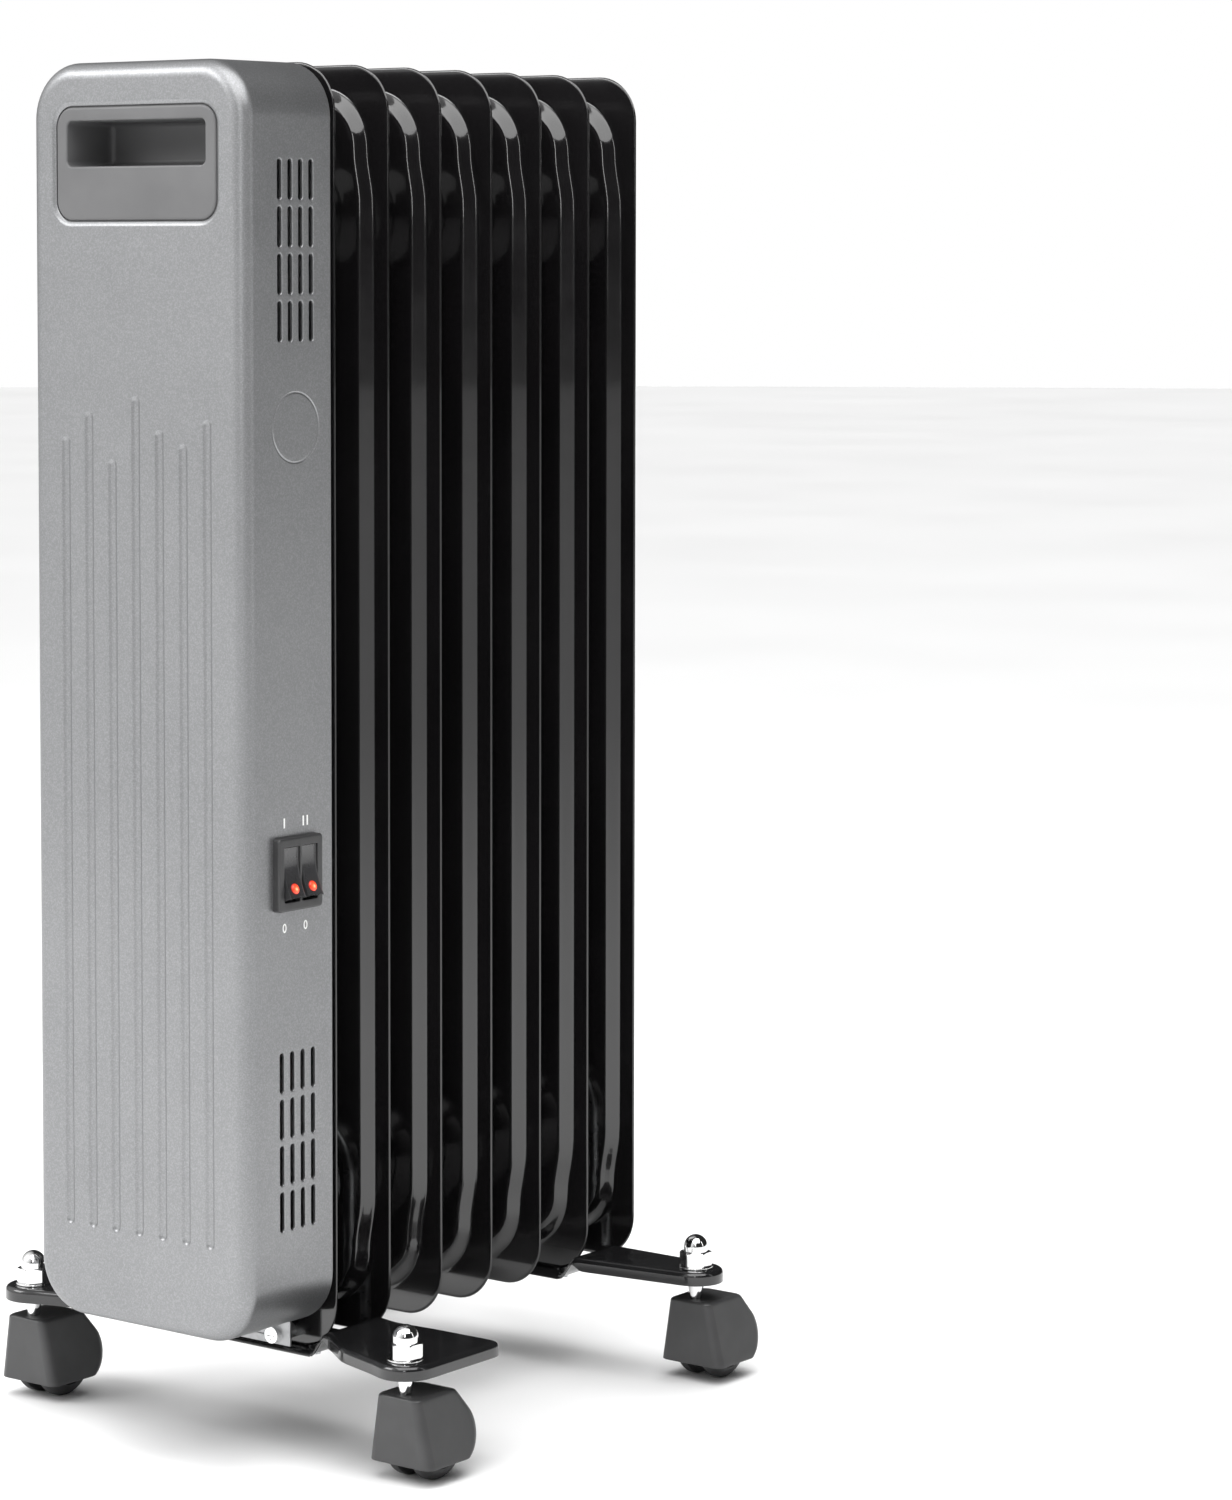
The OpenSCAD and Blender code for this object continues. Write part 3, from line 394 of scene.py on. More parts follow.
def piece(bm, name, mat, body, replaced=(), sharp=38, weighted=True, bevel=0.0):
    """Turns a bmesh into a finished piece that rides on a body."""
    bmesh.ops.remove_doubles(bm, verts=bm.verts, dist=1e-6)
    bmesh.ops.recalc_face_normals(bm, faces=bm.faces)
    mesh = bpy.data.meshes.new(name)
    bm.to_mesh(mesh)
    bm.free()
    mesh.materials.append(mat)
    mesh.shade_smooth()
    mesh.set_sharp_from_angle(angle=math.radians(sharp))
    obj = bpy.data.objects.new(name, mesh)
    bpy.context.scene.collection.objects.link(obj)
    if bevel:
        add = obj.modifiers.new("edges", "BEVEL")
        add.width, add.segments, add.limit_method, add.angle_limit = bevel * MM, 2, "ANGLE", math.radians(40)
    if weighted:
        add = obj.modifiers.new("normals", "WEIGHTED_NORMAL")
        add.keep_sharp = True
    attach(obj, body)
    if replaced:
        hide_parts(*replaced)
    return obj


# ---------------------------------------------------------------- radiator fins

fin_lo, fin_hi = box("fin_1")
FIN_W, FIN_H = fin_hi.x - fin_lo.x, fin_hi.z - fin_lo.z
FIN_MID = (fin_lo.z + fin_hi.z) / 2
FIN_BULGE = (fin_hi.y - fin_lo.y) / 2
HEADERS = [(box(n)[0].z + box(n)[1].z) / 2 for n in ("upper_collars", "lower_collars")]
FIN_Y = [(box("fin_%d" % i)[0].y + box("fin_%d" % i)[1].y) / 2 for i in range(1, 8)]
SIDE_STEPS = [0, 0.008, 0.016, 0.024, 0.033, 0.043, 0.055, 0.07, 0.1, 0.3, 0.5, 0.7, 0.9, 0.93, 0.945,
              0.957, 0.967, 0.976, 0.984, 0.992, 1]
PINCH_SPAN = 0.05   # share of a side, at each end, over which the pinch fades out


def fin_outline(w, h, r, pinch=0.0, steps=12):
    """A fin's outline in X and Z. Near both ends its sides are pinched in by that much."""
    x, z = w / 2 - r, h / 2 - r

    def ease(t):
        return t * t * (3 - 2 * t)

    def corner(cx, cz, a):
        return arc(cx, cz, r, a, a + 90, steps)

    right = [(w / 2 - pinch * (1 - ease(min(1, min(t, 1 - t) / PINCH_SPAN))), FIN_MID - z + 2 * z * t)
             for t in SIDE_STEPS[1:-1]]
    left = [(-p, 2 * FIN_MID - q) for p, q in right]
    return (
        right + corner(x - pinch, FIN_MID + z, 0) + corner(-x + pinch, FIN_MID + z, 90)
        + left + corner(-x + pinch, FIN_MID - z, 180) + corner(x - pinch, FIN_MID - z, 270)
    )


RIM = fin_outline(FIN_W, FIN_H, 21)
FOOT = fin_outline(FIN_W - 14.5, FIN_H - 19, 27, 3.2)
CROWN = fin_outline(FIN_W - 27.5, FIN_H - 32, 21, 3.2)


def between(a, b, t):
    return [(p[0] + (q[0] - p[0]) * t, p[1] + (q[1] - p[1]) * t) for p, q in zip(a, b)]


def fin_profile(top):
    """Outlines and how far they stand out from the seam, from the rim to the panel."""
    flange = 0.62
    rim = [(RIM, 0.0), (inset(RIM, 0.22), 0.42), (inset(RIM, 0.6), 0.62), (inset(RIM, 1.3), flange)]
    slope = [(0.0, 0.0), (0.08, 0.02), (0.2, 0.1), (0.38, 0.34), (0.55, 0.62), (0.7, 0.82), (0.84, 0.94),
             (1, 1)]
    foot = [(between(inset(RIM, 1.3), FOOT, 0.9), flange)]
    return rim + foot + [(between(FOOT, CROWN, t), flange + (top - flange) * s) for t, s in slope]


for number, y0 in enumerate(FIN_Y, 1):
    bm = bmesh.new()
    for side in (-1, 1):
        rings = [ring(bm, outline, on_front(y0 + side * depth)) for outline, depth in fin_profile(FIN_BULGE)]
        strip(bm, rings)
        fill(bm, rings[-1], [], plane_xz)
    piece(bm, "fin_panel_%d" % number, enamel, "root", ["fin_%d" % number], sharp=50)

for name, height in zip(("upper_collars", "lower_collars"), HEADERS):
    bm = bmesh.new()
    gap = FIN_Y[1] - FIN_Y[0] - 2 * FIN_BULGE
    half = [(22.9, 0.0), (22.7, 0.7), (22.1, 1.3), (22.3, 2.4), (23.2, 4.0), (24.6, 6.2), (26.0, 8.4),
            (27.2, 10.2), (28.3, 11.2), (30.0, 11.75), (31.2, gap / 2)]
    profile = [(r, -h) for r, h in reversed(half[1:])] + half
    for a, b in zip(FIN_Y, FIN_Y[1:]):
        lathe(bm, profile, along_y(0, (a + b) / 2, height), 56)
    piece(bm, name.replace("collars", "header_necks"), enamel, "root", [name], sharp=60)


# ---------------------------------------------------------------- housing

case_lo, case_hi = box("front_housing")
FRONT, REAR = case_lo.y, case_hi.y
CASE_W, CASE_H = case_hi.x - case_lo.x, case_hi.z - case_lo.z
CASE_MID = (case_lo.z + case_hi.z) / 2
SIDE = CASE_W / 2
CORNER, ROLL, WALL = 24.0, 7.0, 1.2
grip_lo, grip_hi = box("handle_insert")
switch_lo, switch_hi = box("switch_body")
SWITCH = ((switch_lo.y + switch_hi.y) / 2, (switch_lo.z + switch_hi.z) / 2)
gland_lo, gland_hi = box("cord_gland")
GLAND = ((gland_lo.y + gland_hi.y) / 2, (gland_lo.z + gland_hi.z) / 2)

bm = bmesh.new()
STEPS = 14


def case_ring(d, y, step=STEPS):
    outline = rounded(0, CASE_MID, CASE_W - 2 * d, CASE_H - 2 * d, CORNER - d, step)
    return ring(bm, outline, on_front(y))


right_gap = 4 * (STEPS + 1) - 1
left_gap = 2 * (STEPS + 1) - 1
roll = [math.radians(90 * i / 10) for i in range(11)]
outer_rear = case_ring(0, REAR - 0.7)
outer_body = case_ring(0, FRONT + ROLL)
outer_roll = [case_ring(ROLL * (1 - math.cos(a)), FRONT + ROLL * (1 - math.sin(a))) for a in roll[1:]]
outer_face = case_ring(ROLL + 0.5, FRONT)
inner_rear = case_ring(WALL, REAR)
inner_body = case_ring(WALL, FRONT + ROLL)
r_in = ROLL - WALL
inner_roll = [case_ring(WALL + r_in * (1 - math.cos(a)), FRONT + ROLL - r_in * math.sin(a)) for a in roll[1:]]
strip(bm, [inner_rear, case_ring(0.55, REAR), case_ring(0.15, REAR - 0.2), outer_rear])
bridge(bm, outer_rear, outer_body, (right_gap, left_gap))
bridge(bm, inner_rear, inner_body, (right_gap, left_gap))
strip(bm, [outer_body, *outer_roll, outer_face])
strip(bm, [inner_body, *inner_roll])

# grooves, pressed into the front face
GROOVE_DROPS = (159, 148, 168, 141, 155, 160.5, 150)
GROOVE_PITCH, GROOVE_W, GROOVE_FOOT = 13.5, 5.4, 40.0
GROOVE_SHAPE = ((0, 0), (0.22, 0.04), (0.55, 0.2), (0.95, 0.48), (1.4, 0.7), (1.95, 0.8))
front_holes = []
for i, drop in enumerate(GROOVE_DROPS):
    x, top, foot = (i - 3) * GROOVE_PITCH, case_hi.z - drop, case_lo.z + GROOVE_FOOT
    rings = [
        ring(bm, rounded(x, (top + foot) / 2, GROOVE_W - 2 * k, top - foot - 2 * k, GROOVE_W / 2 - k, 6),
             on_front(FRONT + depth))
        for k, depth in GROOVE_SHAPE
    ]
    strip(bm, rings)
    fill(bm, rings[-1], [], plane_xz)
    front_holes.append(rings[0])

# the window for the handle, with its edge coined in
HANDLE = ((grip_lo.z + grip_hi.z) / 2, grip_hi.x - grip_lo.x - 6, grip_hi.z - grip_lo.z - 6)
WINDOW = (HANDLE[1] + 1, HANDLE[2] + 1, 9.0)
WINDOW_SHAPE = ((2.3, 0), (1.9, 0.05), (1.35, 0.22), (0.85, 0.5), (0.4, 0.8), (0.12, 0.98), (0, 1.2),
                (0, 1.9))

# the groove round the blank window on the side: radius and depth
BLANK_SHAPE = ((15.5, 0), (15.3, 0.06), (15.05, 0.3), (14.6, 0.3), (14.3, 0.06), (14.1, 0))


def window_ring(grow, y):
    w, h, r = WINDOW
    return ring(bm, rounded(0, HANDLE[0], w + 2 * grow, h + 2 * grow, r + grow, 10), on_front(y))


window = [window_ring(k, FRONT + depth) for k, depth in WINDOW_SHAPE]
strip(bm, window)
front_holes.append(window[0])
fill(bm, outer_face, front_holes, plane_xz)
back_lip = window_ring(1.1, FRONT + WALL)
strip(bm, [window[-1], window_ring(0.9, FRONT + 1.9), back_lip])
fill(bm, inner_roll[-1], [back_lip], plane_xz)


def pierce(outline, x, sign):
    """A hole through a side wall with a rounded outer edge: its outer and inner ring."""
    shape = ((-0.42, 0), (-0.14, 0.1), (0, 0.4), (0, WALL))
    rings = [ring(bm, inset(outline, k), on_side(x - sign * depth)) for k, depth in shape]
    strip(bm, rings)
    return rings[0], rings[-1]


VENT_L, VENT_W, VENT_COL, VENT_ROW = 17.1, 2.8, 6.7, 19.8
vent_tops = [case_hi.z - 41.5 - row * VENT_ROW for row in range(4)]
vent_tops += [case_lo.z + 123 - row * VENT_ROW for row in range(4)]
for sign in (1, -1):
    x = sign * SIDE
    holes = []
    for top in vent_tops:
        for col in range(4):
            holes.append(pierce(rounded(REAR - 33 + col * VENT_COL, top - VENT_L / 2, VENT_W, VENT_L,
                                        VENT_W / 2 - 0.01, 5), x, sign))
    if sign > 0:
        holes.append(pierce(rounded(*SWITCH, 25.7, 28.5, 0.8, 2), x, sign))
        centre = (REAR - 23.2, case_hi.z - 154)
        blank = [ring(bm, arc(*centre, r, 0, 352.5, 47), on_side(x - depth))
                 for r, depth in BLANK_SHAPE]
        strip(bm, blank)
        fill(bm, blank[-1], [], plane_yz)
        blank_outer = [blank[0]]
    else:
        holes.append(pierce(arc(*GLAND, 6.75, 0, 348.75, 31), x, sign))
        blank_outer = []
    gap = right_gap if sign > 0 else left_gap
    nxt = (gap + 1) % len(outer_body)
    fill(bm, [outer_body[gap], outer_body[nxt], outer_rear[nxt], outer_rear[gap]],
         [h[0] for h in holes] + blank_outer, plane_yz)
    fill(bm, [inner_body[gap], inner_body[nxt], inner_rear[nxt], inner_rear[gap]],
         [h[1] for h in holes], plane_yz)

piece(bm, "housing_shell", silver, "root", ["front_housing"], sharp=55)


# ---------------------------------------------------------------- handle

bm = bmesh.new()
FACE_Y = FRONT + 0.55
RECESS_Y = grip_hi.y - 1.8
GRIP = (HANDLE[0] + 8.5, 79.0, 19.3)


def plate_ring(grow, y, r=8.5):
    shape = rounded(0, HANDLE[0], HANDLE[1] + 2 * grow, HANDLE[2] + 2 * grow, r + grow, 10)
    return ring(bm, shape, on_front(y))


def grip_ring(grow, y, r=2.6, shift=0.0):
    shape = rounded(0, GRIP[0] + shift, GRIP[1] + 2 * grow, GRIP[2] + 2 * grow, r + grow, 8)
    return ring(bm, shape, on_front(y))


plate = [plate_ring(3, FRONT + 3.3), plate_ring(3, FRONT + 1.9), plate_ring(0, FRONT + 1.9),
         plate_ring(0, FACE_Y + 0.8), plate_ring(-0.2, FACE_Y + 0.35), plate_ring(-0.6, FACE_Y + 0.08),
         plate_ring(-1.2, FACE_Y)]
strip(bm, plate)
lip = [grip_ring(0.9, FACE_Y), grip_ring(0.45, FACE_Y + 0.1), grip_ring(0.12, FACE_Y + 0.4),
       grip_ring(0, FACE_Y + 0.9), grip_ring(-0.5, RECESS_Y - 3), grip_ring(-0.9, RECESS_Y - 1.2),
       grip_ring(-1.9, RECESS_Y - 0.3), grip_ring(-3.0, RECESS_Y, 3.2)]
strip(bm, lip)
fill(bm, plate[-1], [lip[0]], plane_xz)
fill(bm, lip[-1], [], plane_xz)
back = [grip_ring(1.8, FRONT + 3.3, 3), grip_ring(1.8, RECESS_Y + 1.8, 3)]
strip(bm, back)
fill(bm, plate[0], [back[0]], plane_xz)
fill(bm, back[-1], [], plane_xz)
piece(bm, "handle_moulding", handle_grey, "root", ["handle_insert"], sharp=50)


# ---------------------------------------------------------------- switch

SWITCH_W, SWITCH_H, SWITCH_TOP = switch_hi.y - switch_lo.y, switch_hi.z - switch_lo.z, switch_hi.x
ROCKERS = []
for n in (1, 2):
    lo, hi = box("rocker_%d" % n)
    ROCKERS.append((lo.y + hi.y) / 2)
ROCKER_W, ROCKER_R, ROCKER_X = 9.4, 11.0, SIDE - 0.2
TILT = math.radians(11)

bm = bmesh.new()


def frame_ring(d, x, r=1.6):
    return ring(bm, rounded(*SWITCH, SWITCH_W - 2 * d, SWITCH_H - 2 * d, r, 4), on_side(x))


outside = [frame_ring(1.5, switch_lo.x + 8, 0.8), frame_ring(1.5, SIDE - 0.02, 0.8),
           frame_ring(0, SIDE + 0.02), frame_ring(0.05, SWITCH_TOP - 0.9),
           frame_ring(0.25, SWITCH_TOP - 0.35, 1.5), frame_ring(0.65, SWITCH_TOP - 0.06, 1.4),
           frame_ring(1.1, SWITCH_TOP, 1.3)]
strip(bm, outside)
wells = []
for y in ROCKERS:
    shape = ((-0.35, 0), (-0.1, 0.08), (0, 0.35), (0, SWITCH_TOP - ROCKER_X + 11.4))
    outline = rounded(y, SWITCH[1], ROCKER_W + 0.7, 2 * ROCKER_R + 1.4, 0.5, 2)
    rings = [ring(bm, inset(outline, k), on_side(SWITCH_TOP - depth)) for k, depth in shape]
    strip(bm, rings)
    fill(bm, rings[-1], [], plane_yz)
    wells.append(rings[0])
fill(bm, outside[-1], wells, plane_yz)
fill(bm, outside[0], [], plane_yz)
piece(bm, "switch_frame", black_plastic, "root", ["switch_body"], sharp=50)


def rocker_point(u, w, y):
    """A point of a rocker: u outward, w up, tilted about the pivot."""
    return Vector((
        ROCKER_X + u * math.cos(TILT) - w * math.sin(TILT), y,
        SWITCH[1] + u * math.sin(TILT) + w * math.cos(TILT),
    ))


def rocker_height(w):
    return 3.0 + 1.7 * (abs(w) / ROCKER_R) ** 1.8


LAMP_AT, LAMP_R = -6.8, 2.3
for n, y in enumerate(ROCKERS, 1):
    bm = bmesh.new()
    top = [(rocker_height(w), w) for w in [ROCKER_R * (i / 10 - 1) * 0.965 for i in range(21)]]
    down = [(ROCKER_R * math.sin(a), ROCKER_R * math.cos(a)) for a in
            [math.radians(t) for t in (20, 12, 4, -4, -12, -20, -27)]]
    outline = top + down + [(u, -w) for u, w in reversed(down)]
    outline = outline[::-1]
    rings = []
    for k, d in ((0.45, 0.0), (0.16, 0.1), (0.0, 0.42), (0.0, ROCKER_W / 2)):
        flat = inset(outline, k)
        rings.append([bm.verts.new(rocker_point(u, w, y - ROCKER_W / 2 + d) * MM) for u, w in flat])
    for k, d in ((0.0, 0.42), (0.16, 0.1), (0.45, 0.0)):
        flat = inset(outline, k)
        rings.append([bm.verts.new(rocker_point(u, w, y + ROCKER_W / 2 - d) * MM) for u, w in flat])
    strip(bm, rings)
    fill(bm, rings[0], [], plane_xz)
    fill(bm, rings[-1], [], plane_xz)
    piece(bm, "rocker_paddle_%d" % n, rocker_black, "rocker_%d" % n, ["rocker_%d" % n],
          sharp=40)

    bm = bmesh.new()
    slope = -math.atan2(rocker_height(LAMP_AT + 0.5) - rocker_height(LAMP_AT - 0.5), 1.0)
    base = rocker_height(LAMP_AT)

    def lamp_place(a, b, h, y=y, slope=slope, base=base):
        u = base + h * math.cos(slope) - a * math.sin(slope)
        w = LAMP_AT + a * math.cos(slope) + h * math.sin(slope)
        return rocker_point(u, w, y + b)

    dome = [(LAMP_R, -1.6), (LAMP_R, 0.12)]
    dome += [(LAMP_R * math.cos(t), 0.12 + 0.95 * math.sin(t)) for t in map(math.radians, range(12, 90, 13))]
    dome += [(0.0, 1.07)]
    lathe(bm, dome, lamp_place, 32)
    obj = piece(bm, "lamp_lens_%d" % n, lens, "rocker_%d" % n, ["rocker_lamp_%d" % n], sharp=60,
                weighted=False)
    middle = rocker_point(base, LAMP_AT, y) * MM
    glow = obj.data.attributes.new("glow", "FLOAT", "POINT")
    spread = [1 - min(1, Vector((v.co.y - middle.y, v.co.z - middle.z)).length / (LAMP_R * MM))
              for v in obj.data.vertices]
    glow.data.foreach_set("value", spread)


# marks for the two switches: I and II above, 0 and 0 below
bm = bmesh.new()


def mark(outline, hole=None):
    outlines = [outline] + ([hole] if hole else [])
    low = [ring(bm, o, on_side(SIDE)) for o in outlines]
    high = [ring(bm, o, on_side(SIDE + 0.05)) for o in outlines]
    for a, b in zip(low, high):
        bridge(bm, a, b)
    fill(bm, high[0], high[1:], plane_yz)
    fill(bm, low[0], low[1:], plane_yz)


def stroke(y, z, w, h):
    mark([(y + w / 2, z + h / 2), (y - w / 2, z + h / 2), (y - w / 2, z - h / 2), (y + w / 2, z - h / 2)])


MARK_TOP, MARK_FOOT = SWITCH[1] + 21.5, SWITCH[1] - 23
MARK_L, MARK_R = SWITCH[0] - 7, SWITCH[0] + 6.5
stroke(MARK_L, MARK_TOP, 0.9, 4.2)
stroke(MARK_R - 1.3, MARK_TOP, 0.9, 4.2)
stroke(MARK_R + 1.3, MARK_TOP, 0.9, 4.2)
ROUND = [2 * math.pi * i / 28 for i in range(28)]
for y in (MARK_L, MARK_R):
    mark([(y + 1.25 * math.cos(a), MARK_FOOT + 2.0 * math.sin(a)) for a in ROUND],
         [(y + 0.6 * math.cos(a), MARK_FOOT + 1.3 * math.sin(a)) for a in ROUND])
piece(bm, "switch_marks", ink, "root", weighted=False)


# ---------------------------------------------------------------- brackets

WASHER_R = 8
stem_lo, stem_hi = box("stem_washers")
STEM_X = stem_hi.x - WASHER_R
STEMS = {}
for key in ("fl", "fr", "rl", "rr"):
    sx = -1 if key[1] == "l" else 1
    sy = stem_lo.y + WASHER_R if key[0] == "f" else stem_hi.y - WASHER_R
    STEMS[key] = Vector((sx * STEM_X, sy))
EAR_TOP = stem_lo.z
TRAY_DROP = EAR_TOP - fin_lo.z
LIP = 6.0


def resample(points, step):
    """Points about a step apart along a closed outline."""
    out = []
    for a, b in zip(points, points[1:] + points[:1]):
        a, b = Vector(a), Vector(b)
        count = max(1, round((b - a).length / step))
        out += [tuple(a + (b - a) * i / count) for i in range(count)]
    return out


def relax(points, rounds):
    """Takes the sharpness off an outline's corners."""
    for _ in range(rounds):
        n = len(points)
        points = [((points[i - 1][0] + 2 * points[i][0] + points[(i + 1) % n][0]) / 4,
                   (points[i - 1][1] + 2 * points[i][1] + points[(i + 1) % n][1]) / 4) for i in range(n)]
    return points


def smoothstep(t):
    t = max(0.0, min(1.0, t))
    return t * t * (3 - 2 * t)


def tray_z(x):
    """Height of a bracket's top face, which drops to a tray under the fins."""
    return EAR_TOP - TRAY_DROP * (1 - smoothstep((abs(x) - 44.5) / 9.5))


def bracket_piece(name, node, half, dimples=()):
    bm = bmesh.new()
    outline = half + [(-x, y) for x, y in reversed(half)]
    outline = relax(resample(outline, 1.8), 6)
    if sum(a[0] * b[1] - b[0] * a[1] for a, b in zip(outline, outline[1:] + outline[:1])) < 0:
        outline = outline[::-1]

    def lip_depth(x):
        return LIP * (0.3 + 0.7 * smoothstep((abs(x) - 50) / 8))

    def dent(p):
        return sum(1.1 * (1 - smoothstep((Vector(p) - Vector(c)).length / 6.5)) for c in dimples)

    def edge(d, share, drop):
        return [bm.verts.new(Vector((p[0], p[1], tray_z(p[0]) - drop - share * (lip_depth(p[0]) - 2.2))) * MM)
                for p in inset(outline, d)]

    top = [edge(2.6, 0, 0), edge(1.9, 0, 0.04), edge(1.1, 0, 0.32), edge(0.45, 0, 0.9), edge(0.1, 0, 1.7),
           edge(0, 0, 2.2), edge(0, 1, 2.2), edge(0.2, 1, 2.4), edge(1.2, 1, 2.4), edge(1.4, 1, 2.2)]
    under = [edge(1.4, 0, 2.3), edge(2.0, 0, 1.75), edge(2.8, 0, 1.5)]
    strip(bm, top + under)
    core = inset(outline, 4.0)
    for rim, drop in ((top[0], 0), (under[-1], 1.5)):
        grid = []
        xs = [-124 + 2.5 * i for i in range(100)]
        ys = [core[0][1]] + [min(p[1] for p in core) + 2.5 * i for i in range(40)]
        for x in xs:
            for y in ys:
                if inside((x, y), core):
                    grid.append((x, y))
        for c in dimples:
            grid = [g for g in grid if (Vector(g) - Vector(c)).length > 8]
            grid += [q for r in (1.6, 3.2, 4.8, 6.4) for q in arc(*c, r, 0, 345, 23)] + [c]
        free = [bm.verts.new(Vector((p[0], p[1], tray_z(p[0]) - drop - dent(p))) * MM) for p in grid]
        fill(bm, rim, [], plane_xy, free)
    return piece(bm, name, bracket_enamel, "root", [node], sharp=60)


front_hi = box("front_bracket")[1]
EAR_R = front_hi.x - STEM_X
ARM = FIN_W / 2 - 2
fy, ry = STEMS["fr"].y, STEMS["rr"].y
front_tray = (FIN_Y[0] - 7, FIN_Y[1] - 3)
wing = FIN_Y[1] - 5
front_half = (
    [(0.5, front_tray[0]), (ARM - 8, front_tray[0]), (ARM + 4, front_tray[0] - 1.0), (ARM + 22, fy - 2.0)]
    + arc(STEM_X, fy, EAR_R, 232, 360, 16) + arc(front_hi.x - 4, wing - 4, 4, 0, 90, 6)
    + [(ARM + 32, wing - 0.5), (ARM + 12, wing - 2.0), (ARM - 4, front_tray[1]), (0.5, front_tray[1])]
)
rear_tray = (FIN_Y[5] - 9.5, FIN_Y[5] + 24)
rear_half = (
    [(0.5, rear_tray[0]), (ARM, rear_tray[0]), (ARM + 16, rear_tray[0] + 2)]
    + arc(STEM_X, ry, EAR_R, 270, 450, 24)
    + [(ARM + 16, rear_tray[1]), (ARM, rear_tray[1]), (0.5, rear_tray[1])]
)
bracket_piece("bracket_front", "front_bracket", front_half)
DIMPLE_X = 77.0
dimple_y = (rear_tray[0] + rear_tray[1]) / 2 + 3
bracket_piece("bracket_rear", "rear_bracket", rear_half, [(s * DIMPLE_X, dimple_y) for s in (-1, 1)])


# ---------------------------------------------------------------- caster fittings

hood_lo, hood_hi = box("hood_fr")
HOOD_TOP = hood_hi.z
UNDER = EAR_TOP - 1.5

bm = bmesh.new()
for s in STEMS.values():
    profile = [(0, HOOD_TOP - 13), (2.3, HOOD_TOP - 13), (2.6, HOOD_TOP - 12.5), (2.6, HOOD_TOP + 0.1),
               (2.9, HOOD_TOP + 0.4), (3.1, HOOD_TOP + 1.6), (4.1, UNDER - 3.6), (4.35, UNDER - 2.6),
               (5.9, UNDER - 2.2), (6.3, UNDER - 1.7), (6.3, UNDER - 0.3), (5.9, UNDER - 0.02),
               (4.0, UNDER), (4.0, EAR_TOP + 9.5), (3.4, EAR_TOP + 10.2), (0, EAR_TOP + 10.2)]
    lathe(bm, profile, up(s.x, s.y, 0), 40)
piece(bm, "stem_pins", chrome, "root", ["caster_stems"], sharp=35)

bm = bmesh.new()
for s in STEMS.values():
    profile = [(4.25, 0), (7.6, 0), (7.95, 0.15), (8.0, 0.5), (7.9, 0.85), (7.5, 1.0), (4.25, 1.0)]
    lathe(bm, profile, up(s.x, s.y, EAR_TOP), 44, closed=True)
piece(bm, "washer_discs", chrome, "root", ["stem_washers"], sharp=35)

nut_lo, nut_hi = box("acorn_nuts")
NUT_H = nut_hi.z - nut_lo.z


DOME_R, BORE_R = 5.55, 4.05   # acorn nut: radius of its dome and of its bore


def acorn(bm, x0, y0, z0, turn):
    """A domed nut: a hexagon with its corners chamfered, a waist and a round cap."""
    flat = 6.5
    steps = 72

    def radius(a, h):
        a = (a + turn) % (math.pi / 3) - math.pi / 6
        hexagon = flat / math.cos(a)
        cone = 6.95 + 1.9 * min(h, 6.4 - h) if h <= 6.4 else 0
        return min(hexagon, cone)

    rings = []
    turnpoints = [2 * math.pi * i / steps for i in range(steps)]
    for h in (0, 0.15, 0.35, 0.6, 5.0, 5.5, 5.9, 6.2, 6.4):
        rings.append([bm.verts.new(Vector((x0 + radius(a, h) * math.cos(a), y0 + radius(a, h) * math.sin(a),
                                           z0 + h)) * MM) for a in turnpoints])
    dome = [(5.75, 6.42), (DOME_R, 6.7), (DOME_R, NUT_H - 5.5)]
    dome += [(DOME_R * math.cos(t), NUT_H - DOME_R + DOME_R * math.sin(t))
             for t in map(math.radians, range(9, 90, 9))]
    for r, h in dome:
        rings.append([bm.verts.new(Vector((x0 + r * math.cos(a), y0 + r * math.sin(a), z0 + h)) * MM)
                      for a in turnpoints])
    strip(bm, rings)
    tip = bm.verts.new(Vector((x0, y0, z0 + NUT_H)) * MM)
    for i in range(steps):
        face(bm, (rings[-1][i], rings[-1][(i + 1) % steps], tip))
    inner = [bm.verts.new(Vector((x0 + BORE_R * math.cos(a), y0 + BORE_R * math.sin(a), z0)) * MM)
             for a in turnpoints]
    bore = [bm.verts.new(v.co + Vector((0, 0, 9.6)) * MM) for v in inner]
    bridge(bm, rings[0], inner)
    bridge(bm, inner, bore)
    fill(bm, bore, [], plane_xy)


bm = bmesh.new()
for turn, s in zip((0.25, 0.62, 0.05, 0.45), STEMS.values()):
    acorn(bm, s.x, s.y, nut_lo.z, turn)
piece(bm, "acorn_caps", chrome, "root", ["acorn_nuts"], sharp=30)


# ---------------------------------------------------------------- casters

HOOD_FOOT = hood_lo.z
HOOD_SPAN = HOOD_TOP - HOOD_FOOT
fr = STEMS["fr"]
HOOD_FRONT, HOOD_REAR = hood_lo.y - fr.y, hood_hi.y - fr.y
HOOD_HALF = (hood_hi.x - hood_lo.x) / 2


def hood_tail(z):
    """Rear edge of a hood at height z above the floor, behind its stem."""
    low, high = HOOD_FOOT + 3.0, HOOD_TOP - 10.8
    if z < low:
        return HOOD_REAR - 3.3 - 3.7 * ((low - z) / 3.0) ** 1.2
    if z < high:
        rise = min(1.0, abs(z - HOOD_FOOT - 12) / 14)
        return HOOD_REAR - 14 * (1 - math.sqrt(1 - rise ** 2))
    t = (z - high) / (HOOD_TOP - high)
    return HOOD_REAR - 1.9 - 6.6 * min(1.0, t / 0.8) - 4.0 * max(0.0, (t - 0.8) / 0.2) ** 1.8


